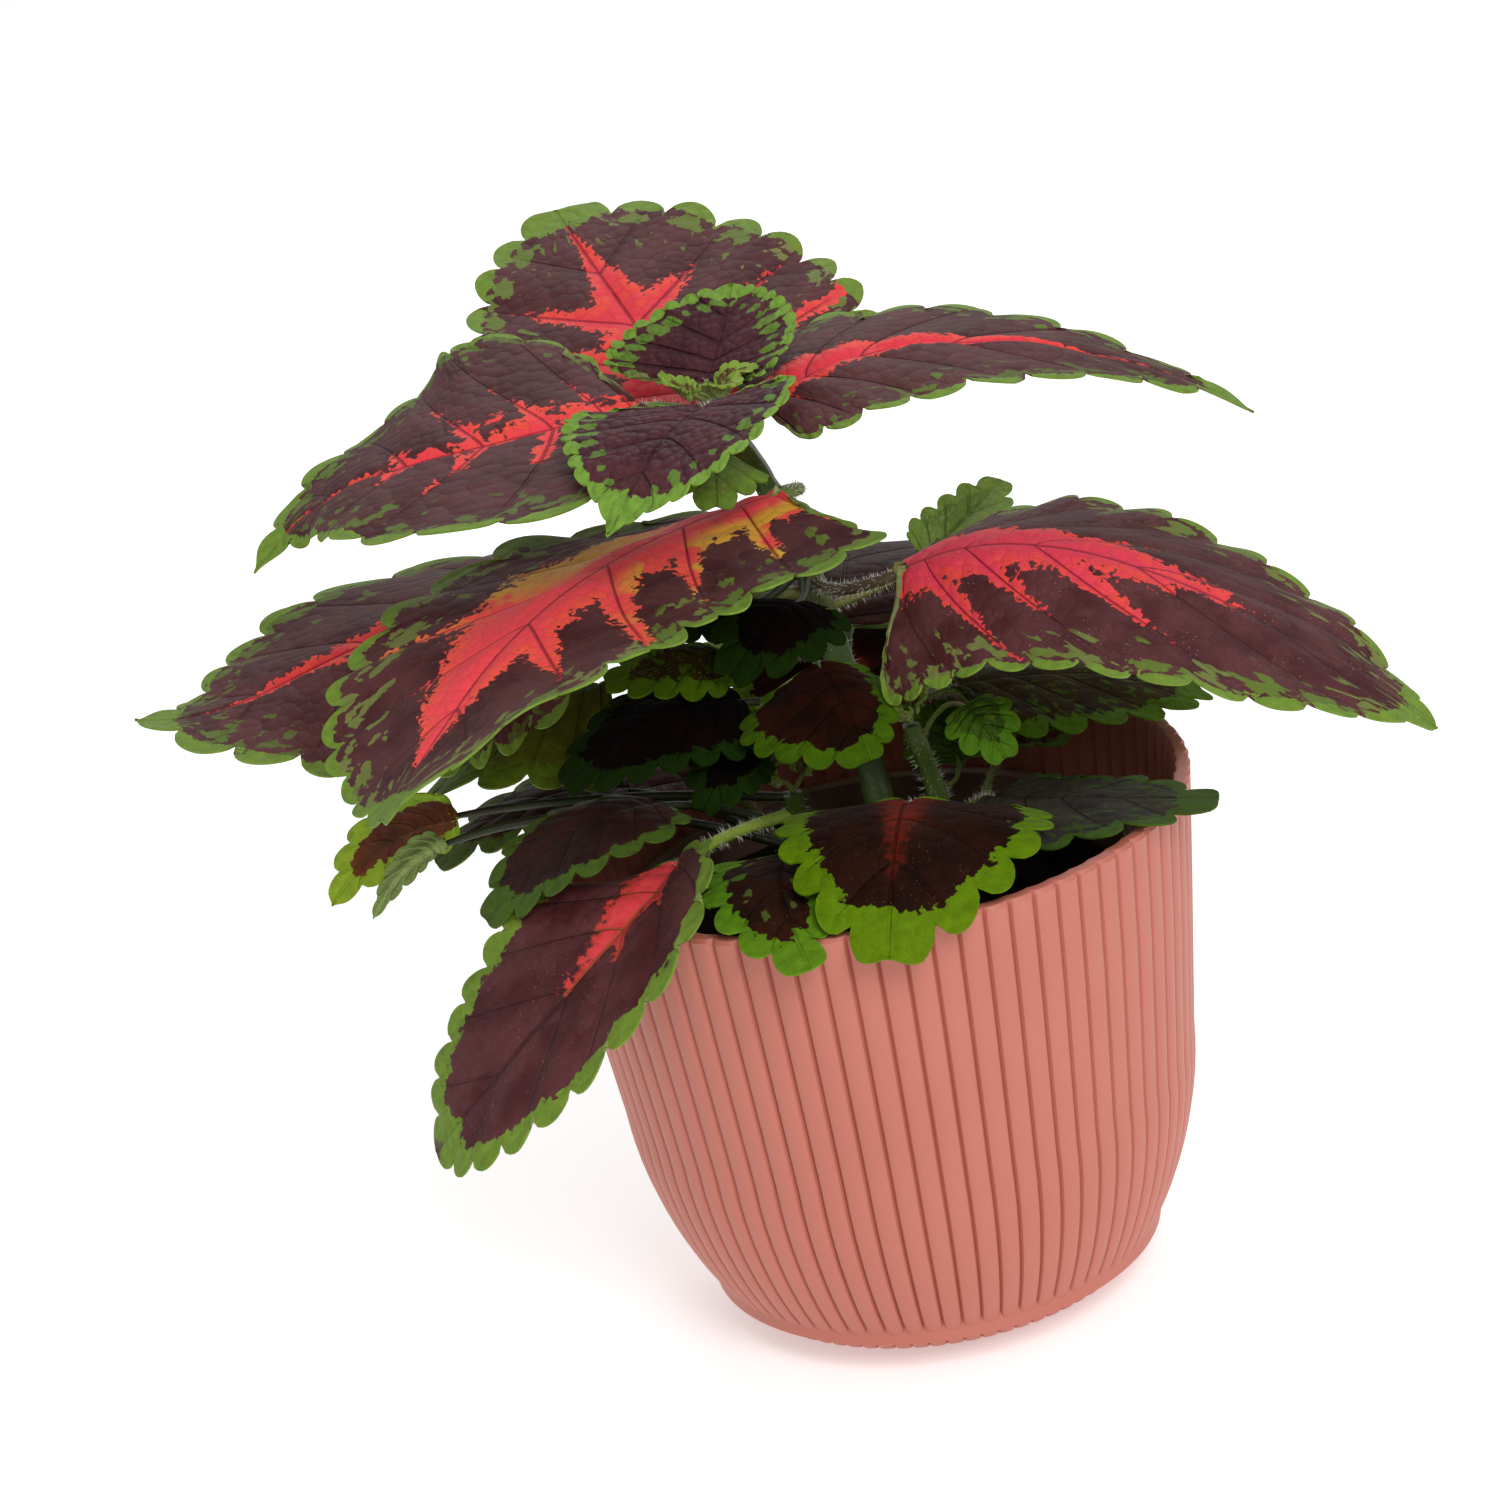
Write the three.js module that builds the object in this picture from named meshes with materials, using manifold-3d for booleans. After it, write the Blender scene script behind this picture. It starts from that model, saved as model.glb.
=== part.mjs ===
// A coleus in a ribbed pink pot: the pot, the grower's pot and soil inside it, square stems
// and every leaf as its own solid. Millimetres, +Z up, origin at the centre of the pot's base.
// The plant is seen from -Y; -X is its left.
import * as THREE from 'three';
import { mergeVertices } from 'three/addons/utils/BufferGeometryUtils.js';
import Module from 'manifold-3d';

const wasm = await Module();
wasm.setup();

// ---------------------------------------------------------------- driving dimensions

// Outer pot: a tall wall that narrows a little, then a round bowl down to a small foot.
const POT_HEIGHT = 114;
const RIM_RADIUS = 70;
const BOWL_TOP_HEIGHT = 53;
const BOWL_TOP_RADIUS = 63;
const BOWL_FOOT_RADIUS = 37;
const BOWL_ROUNDNESS = 1.63;
const FOOT_RADIUS = 35.8;
const FOOT_HEIGHT = 5;
const POT_WALL = 3.2;
const POT_FLOOR = 4;
const RIB_COUNT = 76;
const RIB_DEPTH = 1.1;
const INNER_RIB_DEPTH = 0.8;
const INNER_BOWL_HEIGHT = 16;
const LIP_HEIGHT = 0.8;
const LIP_STEP = 0.4;
const LIP_RIB_DEPTH = 0.77;
const RIB_RING_HEIGHTS = [6, 14, 28];
const INNER_FOOT_RADIUS = 39;

// Grower's pot that stands in it, and the soil that fills it.
const INSERT_BOTTOM = POT_FLOOR + 0.3;
const INSERT_TOP = 97;
const INSERT_BOTTOM_RADIUS = 37;
const INSERT_TOP_RADIUS = 57;
const INSERT_WALL = 1.2;
const INSERT_RIM_WIDTH = 2.4;
const INSERT_RIM_HEIGHT = 6;
const INSERT_SIDES = 40;
const SOIL_TOP = 88;
const SOIL_CROWN = 3;
const SOIL_BUMP = 0.8;
const SOIL_RING_SHARES = [0.9, 0.66, 0.4];
const GAP = 0.3;

// Stems have a square section, as the mint family's have.
const STEM_STEPS = 12;
const STEM_SEARCHES = 24;

// Leaf blades and stalks.
const BLADE_THICKNESS = 0.8;
const MIDRIB_THICKNESS = 1.7;
const STALK_HALF_WIDTH = 1.3;
const STALK_THICKNESS = 2.4;
const STALK_EDGE_THICKNESS = 1.2;
const STALK_STEPS = 4;
const STALK_GAP = 1.3;
const STALK_BEND = 0.45;
const RING_PLACE = 0.56;
const BASE_SHARE = 0.02;
const VEIN_SWEEP = 1.4;
const MARGIN_SAMPLES = 60;
const SAMPLE_SLACK = 1e-9;
const DIRECTION_STEP = 0.01;
const WELD_DISTANCE = 1e-4;
const TOOTH_DEPTH = 0.42;
const TOOTH_FOOT = -0.18;
const TOOTH_POINTS = [0.32, 0.74];
const BROADEST = 0.27;
const BASE_ROUNDNESS = 0.45;
const USUAL_TAPER = 0.68;
const USUAL_LOBE = [0.07, 0.07];
const LOBE_REACH = 0.3;
const BASE_FOLD = 1.5;
const FOLD_EASE = 1.4;

// ---------------------------------------------------------------- colours

const PINK = new THREE.MeshStandardMaterial({ color: 0xd98880, roughness: 0.55, metalness: 0 });
const TAUPE = new THREE.MeshStandardMaterial({ color: 0x6d5148, roughness: 0.6, metalness: 0 });
const EARTH = new THREE.MeshStandardMaterial({ color: 0x2b1d16, roughness: 0.95, metalness: 0 });
const STEM_GREEN = new THREE.MeshStandardMaterial({ color: 0x6d8a3a, roughness: 0.6, metalness: 0 });
const MAROON = new THREE.MeshStandardMaterial({
  color: 0x55262c, roughness: 0.6, metalness: 0, side: THREE.DoubleSide,
});
const YOUNG = new THREE.MeshStandardMaterial({ color: 0x5c8f2c, roughness: 0.6, metalness: 0 });

// ---------------------------------------------------------------- the stems

// Each stem: points along its middle from its foot in the soil up, and its thickness at both ends.
const STEMS = [
  { name: 'stem_main', thick: [7.2, 4.2],
    path: [[8, 3, 62], [3, 9, 110], [-4, 19, 160], [-19, 0, 206]] },
  { name: 'stem_left', thick: [5, 3.6],
    path: [[-12, 2, 62], [-13, -3, 84], [-14, -6, 103], [-15, -9, 122]] },
  { name: 'stem_right', thick: [5, 3.6],
    path: [[22, -6, 62], [19, -8, 88], [16, -10, 112], [12, -12, 134]] },
];

// ---------------------------------------------------------------- the leaves

// Each leaf: the stem it grows on and the height there, points on the midrib from the blade's
// base to its tip, the way its upper face looks (at the tip too, if the blade twists), and then,
// left and right of the midrib, the half widths, the slopes at the midrib in degrees (down is
// negative) and the further slopes at the margin. A taper above the usual one makes a narrower
// tip, and a lobe is how far the margin reaches back past the base, as a share of the blade.
const LEAVES = [
  // Main stem, from the crown down: each pair stands across the one above it.
  { name: 'leaf_crown_back', stem: 'stem_main', height: 203,
    rib: [[-19, 9, 208.8], [-14, 18, 215.8], [-10, 30, 223.4]],
    face: [-0.2, -0.7, 1], wide: [25, 19], fold: [-8, 12], curl: [6, 10], teeth: 16 },
  { name: 'leaf_crown_front', stem: 'stem_main', height: 204.5,
    rib: [[-19, -13, 211], [-29, -33, 210.5], [-42, -50, 198.5]],
    face: [-0.1, -0.5, 1], wide: [24, 24], fold: [12, -6], curl: [10, 4], teeth: 16, taper: 1 },
  { name: 'leaf_top_left', stem: 'stem_main', height: 197,
    rib: [[-33, 6, 208], [-73, -7, 208], [-98, -3, 202], [-118, -8, 189]],
    face: [0.1, -0.1, 1], wide: [37, 45], fold: [-1, 7], curl: [-1, -8], teeth: 12, taper: 1.6,
    lobe: [0.1, 0.07] },
  { name: 'leaf_top_right', stem: 'stem_main', height: 197,
    rib: [[-8, 2, 204], [22, 8, 210], [60, 12, 201], [96, 14, 180]],
    face: [0, 0, 1], wide: [27, 25.5], fold: [3, -4], curl: [-4, -6], teeth: 10, taper: 1.3,
    lobe: [0.07, 0.1] },
  { name: 'leaf_top_back', stem: 'stem_main', height: 187,
    rib: [[-20, 22, 197], [-34, 62, 212], [-48, 108, 226]],
    face: [0, -0.25, 1], wide: [37, 45], fold: [-2, 2], curl: [-6, -4], teeth: 11 },
  { name: 'leaf_big_front_left', stem: 'stem_main', height: 180,
    rib: [[-7, -6, 188], [-52, -30, 183], [-76, -59, 173], [-95, -81, 159]],
    face: [0.23, 0.16, 1.1], tipFace: [-0.3, 0, 0.27], wide: [42, 41], fold: [-12, -18],
    curl: [17, 30], teeth: 14, taper: 0.45, lobe: [0.17, 0.02] },
  { name: 'leaf_back_left', stem: 'stem_main', height: 156,
    rib: [[-42, 22, 162], [-89, 29, 161], [-124, 19, 154], [-153, 15, 155]],
    face: [0.34, 0.14, 0.83], wide: [45, 40], fold: [-21, 5], curl: [-20, -1], teeth: 11,
    taper: 1.15 },
  { name: 'leaf_big_right', stem: 'stem_main', height: 158,
    rib: [[15, -9, 168], [51, -21, 170], [87, -32, 151], [119, -42, 125]],
    face: [0, 0, 1], wide: [38, 34], fold: [-8, -26], curl: [2, 6], teeth: 15,
    lobe: [0.12, 0.22] },
  { name: 'leaf_inner_front', stem: 'stem_main', height: 149,
    rib: [[-5, -13, 152], [-1, -29, 147.5], [2, -41, 139]],
    face: [0, -0.6, 1], wide: [11, 21], fold: [-14, -8], curl: [-10, -10], teeth: 8 },
  { name: 'leaf_back_middle', stem: 'stem_main', height: 138,
    rib: [[2, 26, 144], [5, 50, 152], [10, 86, 140]],
    face: [0, 0, 1], wide: [28, 28], fold: [-6, -6], curl: [-12, -12], teeth: 9 },
  { name: 'leaf_inner_left', stem: 'stem_main', height: 133,
    rib: [[-22, -8, 145], [-42, -15, 146], [-62, -20, 136]],
    face: [0, -0.2, 1], wide: [17, 17], fold: [-8, -8], curl: [-10, -10], teeth: 8 },
  { name: 'leaf_under_right', stem: 'stem_main', height: 124,
    rib: [[22, 8, 134], [48, 16, 129], [77, 22, 118]],
    face: [0, 0, 1], wide: [22, 23], fold: [-8, -8], curl: [-8, -8], teeth: 8, taper: 0.5 },
  { name: 'leaf_behind_right', stem: 'stem_main', height: 152,
    rib: [[21, 26, 157.5], [31, 36, 160.5], [41, 48, 164.5]],
    face: [0, -0.6, 1], wide: [7, 9], fold: [10, 10], curl: [6, 6], teeth: 6 },
  { name: 'leaf_under_crown', stem: 'stem_main', height: 192,
    rib: [[-17, -8, 199], [-19, -16, 198], [-20, -25, 193]],
    face: [0.2, -0.3, 1], wide: [10, 10], fold: [-8, -8], curl: [-8, -8], teeth: 5 },
  { name: 'leaf_inner_small', stem: 'stem_main', height: 146,
    rib: [[-24, -4, 153], [-37, -7, 155], [-50, -8, 153]],
    face: [0, -0.3, 1], wide: [10, 10], fold: [-8, -8], curl: [-8, -8], teeth: 6 },
  { name: 'leaf_left_lobed', stem: 'stem_main', height: 143,
    rib: [[-50, 18, 144], [-72, 18, 139.5], [-95, 17, 124.5]],
    face: [0, 0.3, 1], wide: [26, 14], fold: [-28, -8], curl: [-24, -8], teeth: 7 },
  { name: 'leaf_inner_upper', stem: 'stem_main', height: 164,
    rib: [[-7, -1, 162], [-13, -10, 162], [-24, -17, 153]],
    face: [-0.2, -0.8, 1], wide: [14, 14], fold: [-8, -8], curl: [-8, -8], teeth: 6 },
  { name: 'leaf_under_sunny', stem: 'stem_main', height: 163,
    rib: [[-20, 11, 159], [-28, 6, 161], [-39, 0, 159]],
    face: [0, -0.5, 1], wide: [9, 10], fold: [-8, -8], curl: [-8, -8], teeth: 6 },
  { name: 'leaf_inner_hanging', stem: 'stem_main', height: 122,
    rib: [[-23, -14, 137], [-28, -20, 135], [-34, -23, 127]],
    face: [-0.3, -0.8, 0.6], wide: [9, 9], fold: [-8, -8], curl: [-8, -8], teeth: 6 },

  // Left side stem.
  { name: 'leaf_low_left', stem: 'stem_left', height: 117,
    rib: [[-40, -34.5, 121.5], [-58, -57, 114], [-82, -64, 95], [-99, -60, 77]],
    face: [-0.65, -0.55, 0.7], wide: [23, 26], fold: [8, 12], curl: [-4, -14], teeth: 12,
    lobe: [-0.06, 0.07] },
  { name: 'leaf_left_inner', stem: 'stem_left', height: 112,
    rib: [[-43, -18, 129], [-63, -29, 129], [-82, -36, 115.5]],
    face: [-0.2, -0.2, 1], wide: [17, 15.5], fold: [2, -6], curl: [-4, -10], teeth: 8 },
  { name: 'leaf_rim_front', stem: 'stem_left', height: 103,
    rib: [[-17, -30, 117], [-20, -52, 118.5], [-16, -79, 112]],
    face: [0, -0.1, 1], wide: [9, 15], fold: [-2, -2], curl: [-2, -2], teeth: 7 },
  { name: 'leaf_left_small', stem: 'stem_left', height: 103,
    rib: [[-50, 13, 121], [-72, 14, 121], [-95, 11, 111]],
    face: [-0.1, -0.1, 1], wide: [12, 12], fold: [-4, -4], curl: [-8, -8], teeth: 5 },
  { name: 'leaf_left_hanging', stem: 'stem_left', height: 121,
    rib: [[-87, 1.5, 126.5], [-103, 3, 121.5], [-118, 5, 107.5]],
    face: [0.3, 0.8, 0.4], wide: [9, 9], fold: [-4, -4], curl: [-8, -8], teeth: 6, taper: 1.1 },
  { name: 'leaf_left_folded', stem: 'stem_left', height: 107,
    rib: [[-90, -10, 125], [-99, -10, 120], [-108, -9, 109]],
    face: [0.2, 0.8, 0.4], wide: [3.4, 3.8], fold: [12, 12], curl: [4, 4], teeth: 6, taper: 1.1 },

  // Right side stem.
  { name: 'leaf_centre_front', stem: 'stem_right', height: 114,
    rib: [[9, -26, 123], [5, -50, 126], [-1, -79, 111]],
    face: [0, -0.4, 1], wide: [29, 24], fold: [-4, -4], curl: [-6, -6], teeth: 8 },
  { name: 'leaf_over_right_rim', stem: 'stem_right', height: 108,
    rib: [[26, -12, 116], [43, -24, 117], [73, -36, 116]],
    face: [0, 0, 1], wide: [13, 20], fold: [-4, -6], curl: [-2, -4], teeth: 8 },
  { name: 'leaf_centre_small', stem: 'stem_right', height: 129,
    rib: [[24, -22, 141], [27, -27, 137], [30, -31, 130.6]],
    face: [0, -0.6, 1], wide: [7, 7], fold: [-4, -4], curl: [-8, -8], teeth: 4 },
  { name: 'leaf_inner_green', stem: 'stem_right', height: 119,
    rib: [[21, 2, 119], [20, 9, 123], [18, 19, 126]],
    face: [0, -0.7, 1], wide: [10, 13], fold: [-2, -2], curl: [-4, -4], teeth: 6 },

  // Behind, over the rim.
  { name: 'leaf_back_right', stem: 'stem_right', height: 103,
    rib: [[31, 26, 111], [45, 50, 123], [58, 76, 117]],
    face: [0, 0, 1], wide: [24, 17], fold: [-2, -2], curl: [-6, -6], teeth: 9 },
  { name: 'leaf_back_low', stem: 'stem_main', height: 112,
    rib: [[2, 26, 126], [-5, 54, 137], [-11, 90, 118]],
    face: [0, 0.2, 1], wide: [26, 22], fold: [-2, -2], curl: [-6, -6], teeth: 9 },
  { name: 'leaf_back_far_left', stem: 'stem_left', height: 98,
    rib: [[-28, 26, 112], [-48, 52, 121], [-70, 76, 102]],
    face: [0, 0, 1], wide: [22, 22], fold: [-2, -2], curl: [-6, -6], teeth: 9 },
];

// ---------------------------------------------------------------- helpers

const vector = (point) => new THREE.Vector3(...point);

// The curve through evenly spaced points, as one polynomial, and its direction.
function curveAt(points, t) {
  const last = points.length - 1;
  const place = new THREE.Vector3();
  points.forEach((point, i) => {
    let weight = 1;
    for (let j = 0; j <= last; j += 1) {
      if (j !== i) weight *= (t * last - j) / (i - j);
    }
    place.addScaledVector(vector(point), weight);
  });
  return place;
}

function directionAt(points, t) {
  const before = curveAt(points, t - DIRECTION_STEP);
  return curveAt(points, t + DIRECTION_STEP).sub(before).normalize();
}

function indexedGeometry(positions, triangles) {
  const geometry = new THREE.BufferGeometry();
  geometry.setAttribute('position', new THREE.Float32BufferAttribute(positions, 3));
  geometry.setIndex(triangles);
  geometry.computeVertexNormals();
  return geometry;
}

function toSolid(geometry) {
  const bare = geometry.clone();
  bare.deleteAttribute('normal');
  bare.deleteAttribute('uv');
  const welded = mergeVertices(bare, WELD_DISTANCE);
  return new wasm.Manifold(new wasm.Mesh({
    numProp: 3,
    vertProperties: new Float32Array(welded.attributes.position.array),
    triVerts: new Uint32Array(welded.index.array),
  }));
}

function fromSolid(solid) {
  const mesh = solid.getMesh();
  return indexedGeometry(Array.from(mesh.vertProperties), Array.from(mesh.triVerts));
}

// A closed skin over rings of points: each ring joins the next, and both ends close on a centre.
function loft(rings, firstCentre, lastCentre) {
  const count = rings[0].length;
  const positions = rings.flat(2);
  const triangles = [];
  for (let r = 0; r < rings.length - 1; r += 1) {
    for (let i = 0; i < count; i += 1) {
      const next = (i + 1) % count;
      const a = r * count + i;
      const b = r * count + next;
      triangles.push(a, b, b + count, a, b + count, a + count);
    }
  }
  const first = positions.length / 3;
  positions.push(...firstCentre, ...lastCentre);
  for (let i = 0; i < count; i += 1) {
    const next = (i + 1) % count;
    const start = (rings.length - 1) * count;
    triangles.push(first, next, i, first + 1, start + i, start + next);
  }
  return indexedGeometry(positions, triangles);
}

// ---------------------------------------------------------------- outer pot

function wallRadius(z) {
  if (z >= BOWL_TOP_HEIGHT) {
    const rise = (z - BOWL_TOP_HEIGHT) / (POT_HEIGHT - BOWL_TOP_HEIGHT);
    return BOWL_TOP_RADIUS + (RIM_RADIUS - BOWL_TOP_RADIUS) * rise;
  }
  const drop = (BOWL_TOP_HEIGHT - z) / BOWL_TOP_HEIGHT;
  const bulge = (1 - drop ** BOWL_ROUNDNESS) ** (1 / BOWL_ROUNDNESS);
  return BOWL_FOOT_RADIUS + (BOWL_TOP_RADIUS - BOWL_FOOT_RADIUS) * bulge;
}

// One round of the wall: the even points are rib crests, the odd ones the grooves between.
function ribbedRing(radius, depth, z) {
  const ring = [];
  for (let i = 0; i < 2 * RIB_COUNT; i += 1) {
    const angle = (Math.PI * i) / RIB_COUNT;
    const r = i % 2 === 0 ? radius : radius - depth;
    ring.push([r * Math.cos(angle), r * Math.sin(angle), z]);
  }
  return ring;
}

function potGeometry() {
  const ribTop = POT_HEIGHT - LIP_HEIGHT;
  const rings = [ribbedRing(FOOT_RADIUS, RIB_DEPTH / 2, 0)];
  rings.push(ribbedRing(FOOT_RADIUS, RIB_DEPTH / 2, FOOT_HEIGHT));
  for (const z of [...RIB_RING_HEIGHTS, BOWL_TOP_HEIGHT, ribTop]) {
    rings.push(ribbedRing(wallRadius(z), RIB_DEPTH, z));
  }
  rings.push(ribbedRing(RIM_RADIUS - LIP_STEP, LIP_RIB_DEPTH, POT_HEIGHT));
  const inner = RIM_RADIUS - POT_WALL;
  rings.push(ribbedRing(inner, -INNER_RIB_DEPTH / 2, POT_HEIGHT));
  rings.push(ribbedRing(wallRadius(BOWL_TOP_HEIGHT) - POT_WALL, -INNER_RIB_DEPTH, BOWL_TOP_HEIGHT));
  const innerBowl = wallRadius(INNER_BOWL_HEIGHT) - POT_WALL - RIB_DEPTH;
  rings.push(ribbedRing(innerBowl, 0, INNER_BOWL_HEIGHT));
  rings.push(ribbedRing(INNER_FOOT_RADIUS, 0, POT_FLOOR));
  return loft(rings, [0, 0, 0], [0, 0, POT_FLOOR]);
}

// ---------------------------------------------------------------- grower's pot and soil

const insertRadius = (z) => {
  const rise = (z - INSERT_BOTTOM) / (INSERT_TOP - INSERT_BOTTOM);
  return THREE.MathUtils.lerp(INSERT_BOTTOM_RADIUS, INSERT_TOP_RADIUS - INSERT_RIM_WIDTH, rise);
};

function growerPotGeometry() {
  const top = INSERT_TOP;
  const step = top - INSERT_RIM_HEIGHT;
  const profile = [
    [0, INSERT_BOTTOM],
    [INSERT_BOTTOM_RADIUS, INSERT_BOTTOM],
    [insertRadius(step), step],
    [INSERT_TOP_RADIUS, step],
    [INSERT_TOP_RADIUS, top],
    [insertRadius(top) - INSERT_WALL, top],
    [INSERT_BOTTOM_RADIUS - INSERT_WALL, INSERT_BOTTOM + INSERT_WALL],
    [0, INSERT_BOTTOM + INSERT_WALL],
  ].map(([r, z]) => new THREE.Vector2(r, z));
  return new THREE.LatheGeometry(profile, INSERT_SIDES).rotateX(Math.PI / 2);
}

// The soil heaps a little towards the stems, and its top is uneven.
function soilGeometry() {
  const sides = INSERT_SIDES;
  const slack = INSERT_WALL + 2 * GAP;
  const ringAt = (share, z, bumpy) => {
    const ring = [];
    const radius = (insertRadius(z) - slack) * share;
    for (let i = 0; i < sides; i += 1) {
      const angle = (2 * Math.PI * i) / sides;
      const coarse = Math.sin(5 * angle + 9 * share);
      const fine = Math.sin(11 * angle - 5 * share);
      const bump = bumpy * (coarse + 0.7 * fine);
      const lift = SOIL_CROWN * (1 - share * share) * (bumpy ? 1 : 0);
      ring.push([radius * Math.cos(angle), radius * Math.sin(angle), z + bump + lift]);
    }
    return ring;
  };
  const floor = INSERT_BOTTOM + INSERT_WALL + GAP;
  const rings = [ringAt(1, floor, 0), ringAt(1, SOIL_TOP, 0)];
  for (const share of SOIL_RING_SHARES) {
    rings.push(ringAt(share, SOIL_TOP, SOIL_BUMP));
  }
  return loft(rings, [0, 0, floor], [0, 0, SOIL_TOP + SOIL_CROWN]);
}

// ---------------------------------------------------------------- stems

// A square stem: rings of four corners along its path.
const stemHalf = (thick, t) => THREE.MathUtils.lerp(thick[0], thick[1], t) / 2;

function stemGeometry(path, thick, grow = 0) {
  const rings = [];
  for (let i = 0; i <= STEM_STEPS; i += 1) {
    const t = i / STEM_STEPS;
    const centre = curveAt(path, t);
    const half = stemHalf(thick, t) + grow;
    const ring = [[1, 1], [-1, 1], [-1, -1], [1, -1]].map(([x, y]) => (
      [centre.x + x * half, centre.y + y * half, centre.z]
    ));
    rings.push(ring);
  }
  return loft(rings, curveAt(path, 0).toArray(), curveAt(path, 1).toArray());
}

// Where a leaf's stalk starts: just clear of its stem, on the side the blade is on.
function stalkStart(leaf) {
  const stem = STEMS.find(({ name }) => name === leaf.stem);
  let low = 0;
  let high = 1;
  for (let i = 0; i < STEM_SEARCHES; i += 1) {
    const middle = (low + high) / 2;
    if (curveAt(stem.path, middle).z < leaf.height) low = middle;
    else high = middle;
  }
  const centre = curveAt(stem.path, low);
  const away = curveAt(leaf.rib, 0).sub(centre).setZ(0).normalize();
  const clear = stemHalf(stem.thick, low) * (Math.abs(away.x) + Math.abs(away.y)) + STALK_GAP;
  return centre.addScaledVector(away, clear);
}

// ---------------------------------------------------------------- leaf blades

// Half width of the blade, as a share of its widest, from the base (0) to the tip (1).
function outline(t, taper) {
  if (t <= 0) return 0;
  if (t < BROADEST) return Math.sin((Math.PI / 2) * (t / BROADEST)) ** BASE_ROUNDNESS;
  const u = (t - BROADEST) / (1 - BROADEST);
  return (1 - u) ** taper * (1 + taper * u);
}

// A point of the leaf: t along the midrib, side -1 or 1, distance out along the blade. Both
// halves hang most at the base and flatten towards the tip.
function bladePoint(leaf, t, side, out) {
  const origin = curveAt(leaf.rib, t);
  const ahead = directionAt(leaf.rib, t);
  const face = vector(leaf.face).lerp(vector(leaf.tipFace ?? leaf.face), t);
  const across = ahead.clone().cross(face).normalize();
  const up = across.clone().cross(ahead);
  const half = side < 0 ? 0 : 1;
  const share = out / leaf.wide[half];
  const fold = leaf.fold[half] * (BASE_FOLD - FOLD_EASE * t);
  const slope = THREE.MathUtils.degToRad(fold + (leaf.curl[half] * share) / 2);
  const tilt = THREE.MathUtils.degToRad(fold + leaf.curl[half] * share);
  origin.addScaledVector(across, side * out * Math.cos(slope));
  origin.addScaledVector(up, out * Math.sin(slope));
  const normal = up.multiplyScalar(Math.cos(tilt)).addScaledVector(across, -side * Math.sin(tilt));
  return { place: origin, normal };
}

// The margin of one half of the flat blade, before it is cut into teeth: how far along the
// midrib and how far out it is, and its outward direction, at a share of the margin's length.
function marginOf(leaf, half) {
  const length = curveAt(leaf.rib, 0).distanceTo(curveAt(leaf.rib, 1));
  const lobe = (leaf.lobe ?? USUAL_LOBE)[half];
  const line = [];
  let run = 0;
  for (let i = 0; i <= MARGIN_SAMPLES; i += 1) {
    const t = (i / MARGIN_SAMPLES) ** 2;
    const along = length * (t - lobe * Math.sin(Math.PI * Math.min(1, t / LOBE_REACH)));
    const out = leaf.wide[half] * outline(t, leaf.taper ?? USUAL_TAPER);
    const point = new THREE.Vector2(along, Math.max(STALK_HALF_WIDTH * (1 - t), out));
    run += i > 0 ? point.distanceTo(line[i - 1].point) : 0;
    line.push({ point, run });
  }
  return (share) => {
    const wanted = share * run;
    const next = Math.max(1, line.findIndex((sample) => sample.run >= wanted - SAMPLE_SLACK));
    const a = line[next - 1];
    const b = line[next];
    const point = a.point.clone().lerp(b.point, (wanted - a.run) / (b.run - a.run));
    const forward = b.point.clone().sub(a.point).normalize();
    const outward = [-forward.y / length, forward.x];
    return { along: point.x / length, out: point.y, outward, run };
  };
}

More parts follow.
